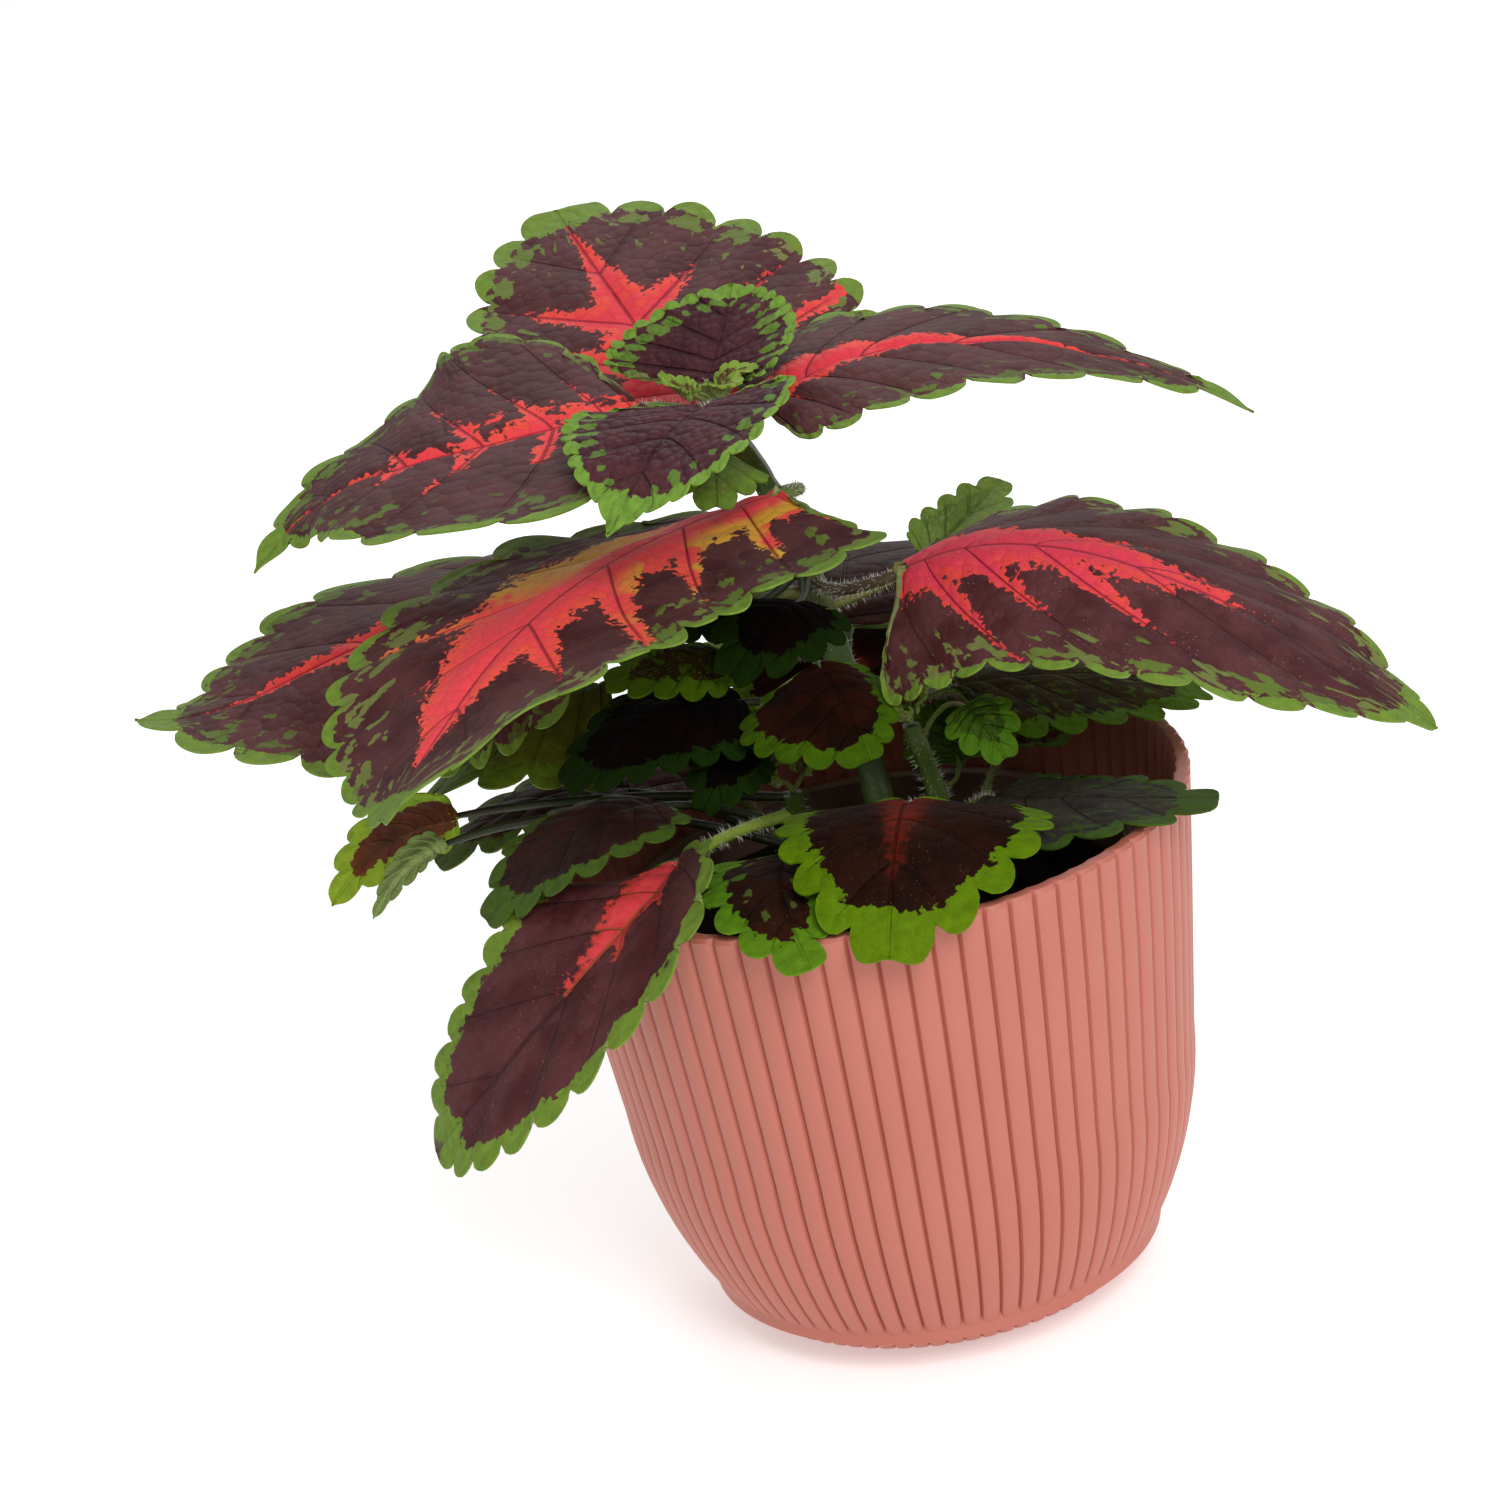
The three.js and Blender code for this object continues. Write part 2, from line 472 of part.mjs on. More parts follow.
function leafGeometry(leaf) {
  const top = [];
  const bottom = [];
  const triangles = [];
  const add = (point, thickness) => {
    top.push(point.place);
    bottom.push(point.place.clone().addScaledVector(point.normal, -thickness));
    return top.length - 1;
  };
  const teeth = leaf.teeth;
  const footOf = (i) => (i / teeth) ** VEIN_SWEEP;

  // Midrib, from the base to the tip.
  const midrib = [];
  for (let i = 0; i <= teeth; i += 1) {
    const thin = THREE.MathUtils.lerp(MIDRIB_THICKNESS, BLADE_THICKNESS, footOf(i));
    midrib.push(add(bladePoint(leaf, footOf(i), 1, 0), i === 0 ? STALK_THICKNESS : thin));
  }
  const tip = midrib[teeth];
  const margins = {};
  const faces = [];
  const face = (side, a, b, c) => {
    if (a === b || b === c || a === c) return;
    faces.push(side > 0 ? [a, b, c] : [a, c, b]);
  };

  for (const side of [1, -1]) {
    const marginAt = marginOf(leaf, side < 0 ? 0 : 1);
    const pushed = (share, tooth) => {
      const { along, out, outward, run } = marginAt(share);
      const stick = (tooth * run) / teeth;
      return bladePoint(leaf, along + stick * outward[0], side, out + stick * outward[1]);
    };
    const valley = [add(bladePoint(leaf, 0, side, STALK_HALF_WIDTH), STALK_EDGE_THICKNESS)];
    const ring = [valley[0]];
    for (let i = 1; i < teeth; i += 1) {
      valley.push(add(pushed(i / teeth, TOOTH_FOOT), BLADE_THICKNESS));
      const { along, out } = marginAt(i / teeth);
      const place = footOf(i) + (along - footOf(i)) * RING_PLACE;
      ring.push(add(bladePoint(leaf, place, side, out * RING_PLACE), BLADE_THICKNESS));
    }
    valley.push(tip);
    ring.push(tip);
    const crest = [];
    for (let i = 0; i < teeth; i += 1) {
      const tooth = i === teeth - 1 ? TOOTH_FOOT : TOOTH_DEPTH + TOOTH_FOOT;
      crest.push(TOOTH_POINTS.map((f) => add(pushed((i + f) / teeth, tooth), BLADE_THICKNESS)));
    }
    const margin = [];
    for (let i = 0; i < teeth; i += 1) {
      const [c1, c2] = crest[i];
      face(side, midrib[i], ring[i], ring[i + 1]);
      face(side, midrib[i], ring[i + 1], midrib[i + 1]);
      face(side, ring[i], valley[i], c1);
      face(side, ring[i], c1, ring[i + 1]);
      face(side, ring[i + 1], c1, c2);
      face(side, ring[i + 1], c2, valley[i + 1]);
      margin.push(valley[i], c1, c2);
    }
    margin.push(tip);
    margins[side] = margin;
  }

  // Stalk: rows of three points on top and three below, from the stem to the blade's base.
  const base = curveAt(leaf.rib, 0);
  const start = leaf.stalk ? vector(leaf.stalk) : stalkStart(leaf);
  const ahead = directionAt(leaf.rib, BASE_SHARE);
  const sideways = ahead.clone().cross(vector(leaf.face)).normalize();
  const bend = base.clone().addScaledVector(ahead, -STALK_BEND * start.distanceTo(base));
  const stalk = new THREE.QuadraticBezierCurve3(start, bend, base);
  let previous = [margins[-1][0], midrib[0], margins[1][0]];
  for (let i = STALK_STEPS - 1; i >= 0; i -= 1) {
    const t = i / STALK_STEPS;
    const centre = stalk.getPoint(t);
    const forward = stalk.getTangent(t);
    const across = sideways.clone().addScaledVector(forward, -sideways.dot(forward)).normalize();
    const up = across.clone().cross(forward);
    const row = [-1, 0, 1].map((side) => add({
      place: centre.clone().addScaledVector(across, side * STALK_HALF_WIDTH),
      normal: up,
    }, side === 0 ? STALK_THICKNESS : STALK_EDGE_THICKNESS));
    for (let k = 0; k < 2; k += 1) {
      faces.push([row[k], row[k + 1], previous[k + 1]]);
      faces.push([row[k], previous[k + 1], previous[k]]);
    }
    margins[-1].unshift(row[0]);
    margins[1].unshift(row[2]);
    previous = row;
  }

  const shift = top.length;
  for (const [a, b, c] of faces) {
    triangles.push(a, b, c, c + shift, b + shift, a + shift);
  }
  for (const side of [1, -1]) {
    const margin = margins[side];
    for (let i = 0; i < margin.length - 1; i += 1) {
      const [a, b] = side > 0 ? [margin[i + 1], margin[i]] : [margin[i], margin[i + 1]];
      triangles.push(a, b, b + shift, a, b + shift, a + shift);
    }
  }
  const [l, m, r] = previous;
  triangles.push(m, l, l + shift, m, l + shift, m + shift);
  triangles.push(r, m, m + shift, r, m + shift, r + shift);
  const positions = [...top, ...bottom].flatMap((point) => point.toArray());
  return indexedGeometry(positions, triangles);
}

// ---------------------------------------------------------------- shoot tips

// A shoot tip ends its stem in a few tiny leaves round a tapered core.
const SHOOTS = [
  { name: 'shoot_crown', at: [-19, 0, 206.4], reach: 12, turn: 8, leaves: 3 },
  { name: 'shoot_left', at: [-15, -9, 122.4], reach: 11, turn: 35, leaves: 2 },
  { name: 'shoot_right', at: [12, -12, 134.4], reach: 10, turn: 80, leaves: 2 },
];
const SHOOT_CORE = 1.6;
const SHOOT_TEETH = 3;
const SHOOT_SPREAD = 150;

function shootGeometry(shoot) {
  const [x, y, z] = shoot.at;
  const core = [[x, y, z], [x, y, z + 0.3 * shoot.reach]];
  let solid = toSolid(stemGeometry(core, [2 * SHOOT_CORE, SHOOT_CORE]));
  for (let i = 0; i < shoot.leaves; i += 1) {
    const inner = i % 2;
    const reach = shoot.reach * (1 - 0.25 * inner);
    const angle = THREE.MathUtils.degToRad(shoot.turn + SHOOT_SPREAD * i);
    const at = (out, up) => [x + out * Math.cos(angle), y + out * Math.sin(angle), z + up];
    const leaf = {
      stalk: at(0.2, 2.6 + inner),
      rib: [
        at(0.25 * reach, 3 + inner),
        at(0.6 * reach, 2 + 0.35 * reach),
        at(reach, 2 + (0.4 + 0.3 * inner) * reach),
      ],
      face: [-0.8 * Math.cos(angle), -0.8 * Math.sin(angle), 1],
      wide: [0.3 * reach, 0.3 * reach],
      fold: [12, 12],
      curl: [8, 8],
      teeth: SHOOT_TEETH,
    };
    solid = solid.add(toSolid(leafGeometry(leaf)));
  }
  return fromSolid(solid);
}

// ---------------------------------------------------------------- the plant in its pot

const plant = new THREE.Group();

function place(name, geometry, material) {
  const mesh = new THREE.Mesh(geometry, material);
  mesh.name = name;
  plant.add(mesh);
}

place('pot', potGeometry(), PINK);
place('grower_pot', growerPotGeometry(), TAUPE);
let soil = toSolid(soilGeometry());
for (const stem of STEMS) {
  soil = soil.subtract(toSolid(stemGeometry(stem.path, stem.thick, GAP)));
  place(stem.name, stemGeometry(stem.path, stem.thick), STEM_GREEN);
}
place('soil', fromSolid(soil), EARTH);
for (const leaf of LEAVES) {
  place(leaf.name, leafGeometry(leaf), MAROON);
}
for (const shoot of SHOOTS) {
  place(shoot.name, shootGeometry(shoot), YOUNG);
}

export default plant;
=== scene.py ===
import math
from types import SimpleNamespace

import bpy
import numpy as np
from mathutils import Matrix, Vector


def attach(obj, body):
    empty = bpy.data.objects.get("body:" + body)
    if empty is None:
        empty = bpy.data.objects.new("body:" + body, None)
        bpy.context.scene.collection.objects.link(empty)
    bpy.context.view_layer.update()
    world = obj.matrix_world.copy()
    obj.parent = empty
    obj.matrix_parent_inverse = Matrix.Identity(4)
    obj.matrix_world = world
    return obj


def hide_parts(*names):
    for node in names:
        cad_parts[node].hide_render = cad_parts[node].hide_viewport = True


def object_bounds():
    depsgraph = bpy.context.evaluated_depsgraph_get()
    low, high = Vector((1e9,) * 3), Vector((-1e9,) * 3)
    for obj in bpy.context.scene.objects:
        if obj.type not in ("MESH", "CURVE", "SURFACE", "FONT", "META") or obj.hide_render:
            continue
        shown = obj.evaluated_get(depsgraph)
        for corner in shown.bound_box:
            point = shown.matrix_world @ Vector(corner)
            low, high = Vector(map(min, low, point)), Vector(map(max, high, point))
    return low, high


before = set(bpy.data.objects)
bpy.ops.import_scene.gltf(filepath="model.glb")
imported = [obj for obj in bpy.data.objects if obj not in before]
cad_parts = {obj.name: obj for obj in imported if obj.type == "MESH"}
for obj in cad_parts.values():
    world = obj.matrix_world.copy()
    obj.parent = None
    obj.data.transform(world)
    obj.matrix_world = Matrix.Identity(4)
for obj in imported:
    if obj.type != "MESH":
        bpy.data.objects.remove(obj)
cad_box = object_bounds()

# A coleus in a ribbed pink pot, in metres. Sizes below are in millimetres and are turned into
# metres by MM where a mesh is made. +Z is up, the plant is seen from -Y and -X is its left.
MM = 0.001

# ---------------------------------------------------------------- sizes

POT_HEIGHT = 114
RIM_RADIUS = 70
BOWL_TOP_HEIGHT = 53
BOWL_TOP_RADIUS = 63
BOWL_FOOT_RADIUS = 37
BOWL_ROUNDNESS = 1.63
FOOT_RADIUS = 35.8
FOOT_HEIGHT = 5
POT_WALL = 3.2
POT_FLOOR = 4
RIB_COUNT = 76
RIB_DEPTH = 1.1
RIB_ROUNDNESS = 2.4
INNER_RIB_DEPTH = 0.8
LIP_HEIGHT = 0.8
LIP_STEP = 0.4
RIM_SWAY = 0.25
PLAIN_RADIUS = 30
POINTS_A_RIB = 10
POT_RINGS = (7, 8.5, 10, 12, 14, 17, 20, 24, 28, 33, 38, 43, 48, 53, 60, 70, 80, 90, 100, 108)
INNER_POT_RINGS = (110, 104, 96, 86, 76, 64, 53, 43, 33, 24, 17)

INSERT_BOTTOM = 4.3
INSERT_TOP = 97
INSERT_BOTTOM_RADIUS = 37
INSERT_TOP_RADIUS = 57
INSERT_WALL = 1.2
INSERT_RIM_WIDTH = 2.4
INSERT_RIM_HEIGHT = 6
SOIL_TOP = 88
SOIL_CROWN = 3
SOIL_SLACK = 0.3
CRUMBS = 240
# Waves that add up to the soil's lumps: the height, the pitch and the shift of each.
SOIL_WAVES = [(1.1, 0.21, 0.3), (0.7, 0.47, 1.9), (0.45, 0.93, 4.1), (0.3, 1.7, 2.2), (0.2, 2.9, 0.9)]

# Blade shape, the same for every leaf. The margin is cut into rounded teeth that lean to the tip.
MARGIN_SAMPLES = 400
ROW_SPACING = 0.75
ROWS_A_TOOTH = (8, 14)
COLUMN_SPACING = 1.7
COLUMNS_A_HALF = (7, 24)
TOOTH_DEPTH = 0.42
TOOTH_FOOT = -0.18
TOOTH_ROUNDNESS = 0.5
TOOTH_LEAN = 1.3
TOOTH_REACH = 5
TOOTH_FADE = 0.7
TIP_START = 0.93
POINT_START = 0.78
TIP_INSET = 0.985
BOX_INSET = 0.3
VEIN_SWEEP = 2.4
VEIN_ARCH = 1.15
BROADEST = 0.27
BASE_ROUNDNESS = 0.45
LOBE_REACH = 0.3
BASE_FOLD = 1.5
FOLD_EASE = 1.4

# Relief of the blade: puffed between the side veins, with a groove along the midrib.
PUFF_ROUNDNESS = 0.8
PUFF_SPACING = 12
MOST_PUFF = 1.3
GROOVE_DEPTH = 0.7
GROOVE_HALF_WIDTH = 1.6
MARGIN_WAVE = 0.015
ROLL_HEIGHT = 0.6
BLADE_THICKNESS = 0.45
MIDRIB_THICKNESS = 2.0
MIDRIB_HALF_WIDTH = 1.1
SIDE_VEIN_THICKNESS = 0.8
SIDE_VEIN_HALF_WIDTH = 0.8

STALK_HALF_WIDTH = 1.3
STALK_BEND = 0.45
STALK_OVERLAP = 2.5
STALK_STEPS = 22
STALK_TAPER = 0.82
LONG_LEAF = 60
SHORT_LEAF = 20
BIG_STALK = 1.45
SMALL_STALK = 1.05
TINY_STALK = 0.6
HAIR_WIDTH = 0.05
STEM_SIDES = 24
STEM_STEPS = 60
STEM_GROOVE = 0.06
STEM_HAIRS = 260
BARE_STEM_STEPS = 25
KNOT_HALF_LENGTH = 2.5
KNOT_SWELLING = 0.14

# Each stem: points along its middle from its foot in the soil up, and its thickness at both ends.
STEMS = [
    dict(name="main", thick=[7.2, 4.2],
         path=[[8, 3, 62], [3, 9, 110], [-4, 19, 160], [-19, 0, 206]]),
    dict(name="left", thick=[5, 3.6],
         path=[[-12, 2, 62], [-13, -3, 84], [-14, -6, 103], [-15, -9, 122]]),
    dict(name="right", thick=[5, 3.6],
         path=[[22, -6, 62], [19, -8, 88], [16, -10, 112], [12, -12, 134]]),
]

# Each leaf: the look that colours it, the stem it grows on and the height there, points on the
# midrib from the blade's base to its tip, the way its upper face looks (at the tip too, if the
# blade twists), the half width, the slope at the midrib in degrees (down is negative), the further
# slope at the margin, the teeth of one half, how fast the blade narrows (less is blunter) and how
# far its base reaches back beside the stalk. A pair is for the halves left and right of the midrib.
USUAL_LEAF = dict(face=[0, 0, 1], fold=-8, curl=-8, taper=0.68, lobe=0.07)
LEAVES = [
    # Main stem, from the crown down: each pair stands across the one above it.
    dict(name="crown_back", look="crown", stem="main", height=203,
         rib=[[-19, 9, 208.8], [-14, 18, 215.8], [-10, 30, 223.4]],
         face=[-0.2, -0.7, 1], wide=[25, 19], fold=[-8, 12], curl=[6, 10], teeth=16),
    dict(name="crown_front", look="crown_front", stem="main", height=204.5,
         rib=[[-19, -13, 211], [-29, -33, 210.5], [-42, -50, 198.5]],
         face=[-0.1, -0.5, 1], wide=24, fold=[12, -6], curl=[10, 4], teeth=16, taper=1),
    dict(name="top_left", look="top_left", stem="main", height=197,
         rib=[[-33, 6, 208], [-73, -7, 208], [-98, -3, 202], [-118, -8, 189]],
         face=[0.1, -0.1, 1], wide=[37, 45], fold=[-1, 7], curl=[-1, -8], teeth=12, taper=1.6,
         lobe=[0.1, 0.07]),
    dict(name="top_right", look="top_right", stem="main", height=197,
         rib=[[-8, 2, 204], [22, 8, 210], [60, 12, 201], [96, 14, 180]],
         wide=[27, 25.5], fold=[3, -4], curl=[-4, -6], teeth=10, taper=1.3, lobe=[0.07, 0.1]),
    dict(name="top_back", look="top_back", stem="main", height=187,
         rib=[[-20, 22, 197], [-34, 62, 212], [-48, 108, 226]],
         face=[0, -0.25, 1], wide=[37, 45], fold=[-2, 2], curl=[-6, -4], teeth=11),
    dict(name="big_front_left", look="sunny", stem="main", height=180,
         rib=[[-7, -6, 188], [-52, -30, 183], [-76, -59, 173], [-95, -81, 159]],
         face=[0.23, 0.16, 1.1], tip_face=[-0.3, 0, 0.27], wide=[42, 41], fold=[-12, -18],
         curl=[17, 30], teeth=14, taper=0.45, lobe=[0.17, 0.02]),
    dict(name="back_left", look="narrow_flame", stem="main", height=156,
         rib=[[-42, 22, 162], [-89, 29, 161], [-124, 19, 154], [-153, 15, 155]],
         face=[0.34, 0.14, 0.83], wide=[45, 40], fold=[-21, 5], curl=[-20, -1], teeth=11, taper=1.15),
    dict(name="big_right", look="wide_flame", stem="main", height=158,
         rib=[[15, -9, 168], [51, -21, 170], [87, -32, 151], [119, -42, 125]],
         wide=[38, 34], fold=[-8, -26], curl=[2, 6], teeth=15, lobe=[0.12, 0.22]),
    dict(name="inner_front", look="deep_shade", stem="main", height=149,
         rib=[[-5, -13, 152], [-1, -29, 147.5], [2, -41, 139]],
         face=[0, -0.6, 1], wide=[11, 21], fold=[-14, -8], curl=-10, teeth=8),
    dict(name="back_middle", look="shade", stem="main", height=138,
         rib=[[2, 26, 144], [5, 50, 152], [10, 86, 140]],
         wide=28, fold=-6, curl=-12, teeth=9),
    dict(name="inner_left", look="dark_shade", stem="main", height=133,
         rib=[[-22, -8, 145], [-42, -15, 146], [-62, -20, 136]],
         face=[0, -0.2, 1], wide=17, curl=-10, teeth=8),
    dict(name="under_right", look="olive_shade", stem="main", height=124,
         rib=[[22, 8, 134], [48, 16, 129], [77, 22, 118]],
         wide=[22, 23], teeth=8, taper=0.5),
    dict(name="behind_right", look="green_young", stem="main", height=152,
         rib=[[21, 26, 157.5], [31, 36, 160.5], [41, 48, 164.5]],
         face=[0, -0.6, 1], wide=[7, 9], fold=10, curl=6, teeth=6),
    dict(name="under_crown", look="green_young", stem="main", height=192,
         rib=[[-17, -8, 199], [-19, -16, 198], [-20, -25, 193]],
         face=[0.2, -0.3, 1], wide=10, teeth=5),
    dict(name="inner_small", look="olive_shade", stem="main", height=146,
         rib=[[-24, -4, 153], [-37, -7, 155], [-50, -8, 153]],
         face=[0, -0.3, 1], wide=10, teeth=6),
    dict(name="left_lobed", look="lobed_shade", stem="main", height=143,
         rib=[[-50, 18, 144], [-72, 18, 139.5], [-95, 17, 124.5]],
         face=[0, 0.3, 1], wide=[26, 14], fold=[-28, -8], curl=[-24, -8], teeth=7),
    dict(name="inner_upper", look="dark_shade", stem="main", height=164,
         rib=[[-7, -1, 162], [-13, -10, 162], [-24, -17, 153]],
         face=[-0.2, -0.8, 1], wide=14, teeth=6),
    dict(name="under_sunny", look="dark_shade", stem="main", height=163,
         rib=[[-20, 11, 159], [-28, 6, 161], [-39, 0, 159]],
         face=[0, -0.5, 1], wide=[9, 10], teeth=6),
    dict(name="inner_hanging", look="dark_shade", stem="main", height=122,
         rib=[[-23, -14, 137], [-28, -20, 135], [-34, -23, 127]],
         face=[-0.3, -0.8, 0.6], wide=9, teeth=6),

    # Left side stem.
    dict(name="low_left", look="low_flame", stem="left", height=117,
         rib=[[-40, -34.5, 121.5], [-58, -57, 114], [-82, -64, 95], [-99, -60, 77]],
         face=[-0.65, -0.55, 0.7], wide=[23, 26], fold=[8, 12], curl=[-4, -14], teeth=12,
         lobe=[-0.06, 0.07]),
    dict(name="left_inner", look="shade", stem="left", height=112,
         rib=[[-43, -18, 129], [-63, -29, 129], [-82, -36, 115.5]],
         face=[-0.2, -0.2, 1], wide=[17, 15.5], fold=[2, -6], curl=[-4, -10], teeth=8),
    dict(name="rim_front", look="green_rim", stem="left", height=103,
         rib=[[-17, -30, 117], [-20, -52, 118.5], [-16, -79, 112]],
         face=[0, -0.1, 1], wide=[9, 15], fold=-2, curl=-2, teeth=7),
    dict(name="left_small", look="shade", stem="left", height=103,
         rib=[[-50, 13, 121], [-72, 14, 121], [-95, 11, 111]],
         face=[-0.1, -0.1, 1], wide=12, fold=-4, teeth=5),
    dict(name="left_hanging", look="backlit", stem="left", height=121,
         rib=[[-87, 1.5, 126.5], [-103, 3, 121.5], [-118, 5, 107.5]],
         face=[0.3, 0.8, 0.4], wide=9, fold=-4, teeth=6, taper=1.1),
    dict(name="left_folded", look="sage_back", stem="left", height=107,
         rib=[[-90, -10, 125], [-99, -10, 120], [-108, -9, 109]],
         face=[0.2, 0.8, 0.4], wide=[3.4, 3.8], fold=12, curl=4, teeth=6, taper=1.1),

    # Right side stem.
    dict(name="centre_front", look="painted_shade_flame", stem="right", height=114,
         rib=[[9, -26, 123], [5, -50, 126], [-1, -79, 111]],
         face=[0, -0.4, 1], wide=[29, 24], fold=-4, curl=-6, teeth=8),
    dict(name="over_right_rim", look="grey_shade", stem="right", height=108,
         rib=[[26, -12, 116], [43, -24, 117], [73, -36, 116]],
         wide=[13, 20], fold=[-4, -6], curl=[-2, -4], teeth=8),
    dict(name="centre_small", look="green_shade", stem="right", height=129,
         rib=[[24, -22, 141], [27, -27, 137], [30, -31, 130.6]],
         face=[0, -0.6, 1], wide=7, fold=-4, teeth=4),
    dict(name="inner_green", look="green_shade", stem="right", height=119,
         rib=[[21, 2, 119], [20, 9, 123], [18, 19, 126]],
         face=[0, -0.7, 1], wide=[10, 13], fold=-2, curl=-4, teeth=6),

    # Behind, over the rim.
    dict(name="back_right", look="narrow_flame", stem="right", height=103,
         rib=[[31, 26, 111], [45, 50, 123], [58, 76, 117]],
         wide=[24, 17], fold=-2, curl=-6, teeth=9),
    dict(name="back_low", look="painted_shade_flame", stem="main", height=112,
         rib=[[2, 26, 126], [-5, 54, 137], [-11, 90, 118]],
         face=[0, 0.2, 1], wide=[26, 22], fold=-2, curl=-6, teeth=9),
    dict(name="back_far_left", look="narrow_flame", stem="left", height=98,
         rib=[[-28, 26, 112], [-48, 52, 121], [-70, 76, 102]],
         wide=22, fold=-2, curl=-6, teeth=9),
]

# The young leaves of each shoot tip spread round the top of their stem, each SHOOT_SPREAD degrees
# on from the last. Turn is the direction of the first, reach the length of an outer one.
SHOOTS = [
    dict(name="shoot_crown", at=[-19, 0, 206.4], reach=12, turn=8, leaves=3),
    dict(name="shoot_left", at=[-15, -9, 122.4], reach=11, turn=35, leaves=2),
    dict(name="shoot_right", at=[12, -12, 134.4], reach=10, turn=80, leaves=2),
]
SHOOT_SPREAD = 150

# ---------------------------------------------------------------- colours

# Colours are written as seen, 0 to 255.
# MAROON and BROWN_MAROON are the leaf's own maroons with a little painted grey-purple sheen mixed in.
MAROON = (65, 30, 33)
BROWN_MAROON = (84, 48, 50)
CORAL = (212, 56, 68)
SCARLET = (224, 74, 60)
YELLOW = (212, 156, 56)
CRIMSON = (150, 30, 52)
LEAF_GREEN = (98, 126, 44)
OLIVE = (78, 88, 44)
PALE_OLIVE = (112, 120, 66)
SAGE = (126, 140, 84)
WITHERED_GREY = (84, 80, 66)
DUST_GREY = (220, 204, 198)
STALK_FLUSH = (120, 60, 48)
# STEM_GREEN: the stems' green, darkened as painted shade for the stems inside the plant.
STEM_GREEN = (66, 84, 34)
HAIR_TINTS = ((206, 204, 190), (232, 228, 216))
POT_PINKS = ((174, 98, 84), (184, 109, 93))
TAUPES = ((98, 72, 62), (116, 88, 76))
# Soil browns far darker than soil's own colour: painted shade inside the pot.
SOIL_BROWNS = ((12, 8, 6), (36, 26, 20))

# How each kind of leaf is coloured. The flame runs out from the base: its half width at the
# base and its length as shares of the blade, then how far it follows the side veins and how
# wide it is there, as shares of the space between two of them. Branches give that reach vein by
# vein, for the left and the right half; a pair of other values is for the two halves as well.
# The green margin is in millimetres and is cut up between the teeth by scallop; second_row is how
# much of a row of green islands stands behind the teeth, scatter the share of islands further in.
# Quilt is how much the blade puffs up between the side veins, relief how much its cells do.
USUAL_LOOK = dict(
    field=MAROON, field_tone_and_sheen=BROWN_MAROON, flame=CORAL, flame_edge=SCARLET, vein=CRIMSON,
    green=LEAF_GREEN, fleck=OLIVE, under=SAGE, stalk=(96, 112, 50),
    flame_width=0.3, flame_length=0.9, belly=0.8, side_reach=0.45, side_width=0.3, ragged=0.2,
    margin=2.6, scallop=0.9, second_row=0.5, scatter=0.2, side_veins=7, quilt=1.0, cell_size=3.0,
    relief=0.45, roughness=0.56, shine=0.2, glow=0.08, tooth=1.0, withered=2.0, dust=0.3,
    tip_start=TIP_START, soft=0.025, hairs=220, same_below=False, slant=0,
    green_tip=0.88, point=0,
)
# The looks shade, dark_shade, deep_shade, olive_shade, grey_shade and green_shade carry painted shade:
# their colours are darkened for leaves in the shade inside and under the plant. SHADED_STALK is a stalk
# green darkened as painted shade.
PLAIN = dict(flame_width=0)
SHADED = PLAIN | dict(dust=0)
DIM = SHADED | dict(second_row=0, scatter=0)
SHADED_STALK = dict(stalk=(36, 44, 18), hairs=0)
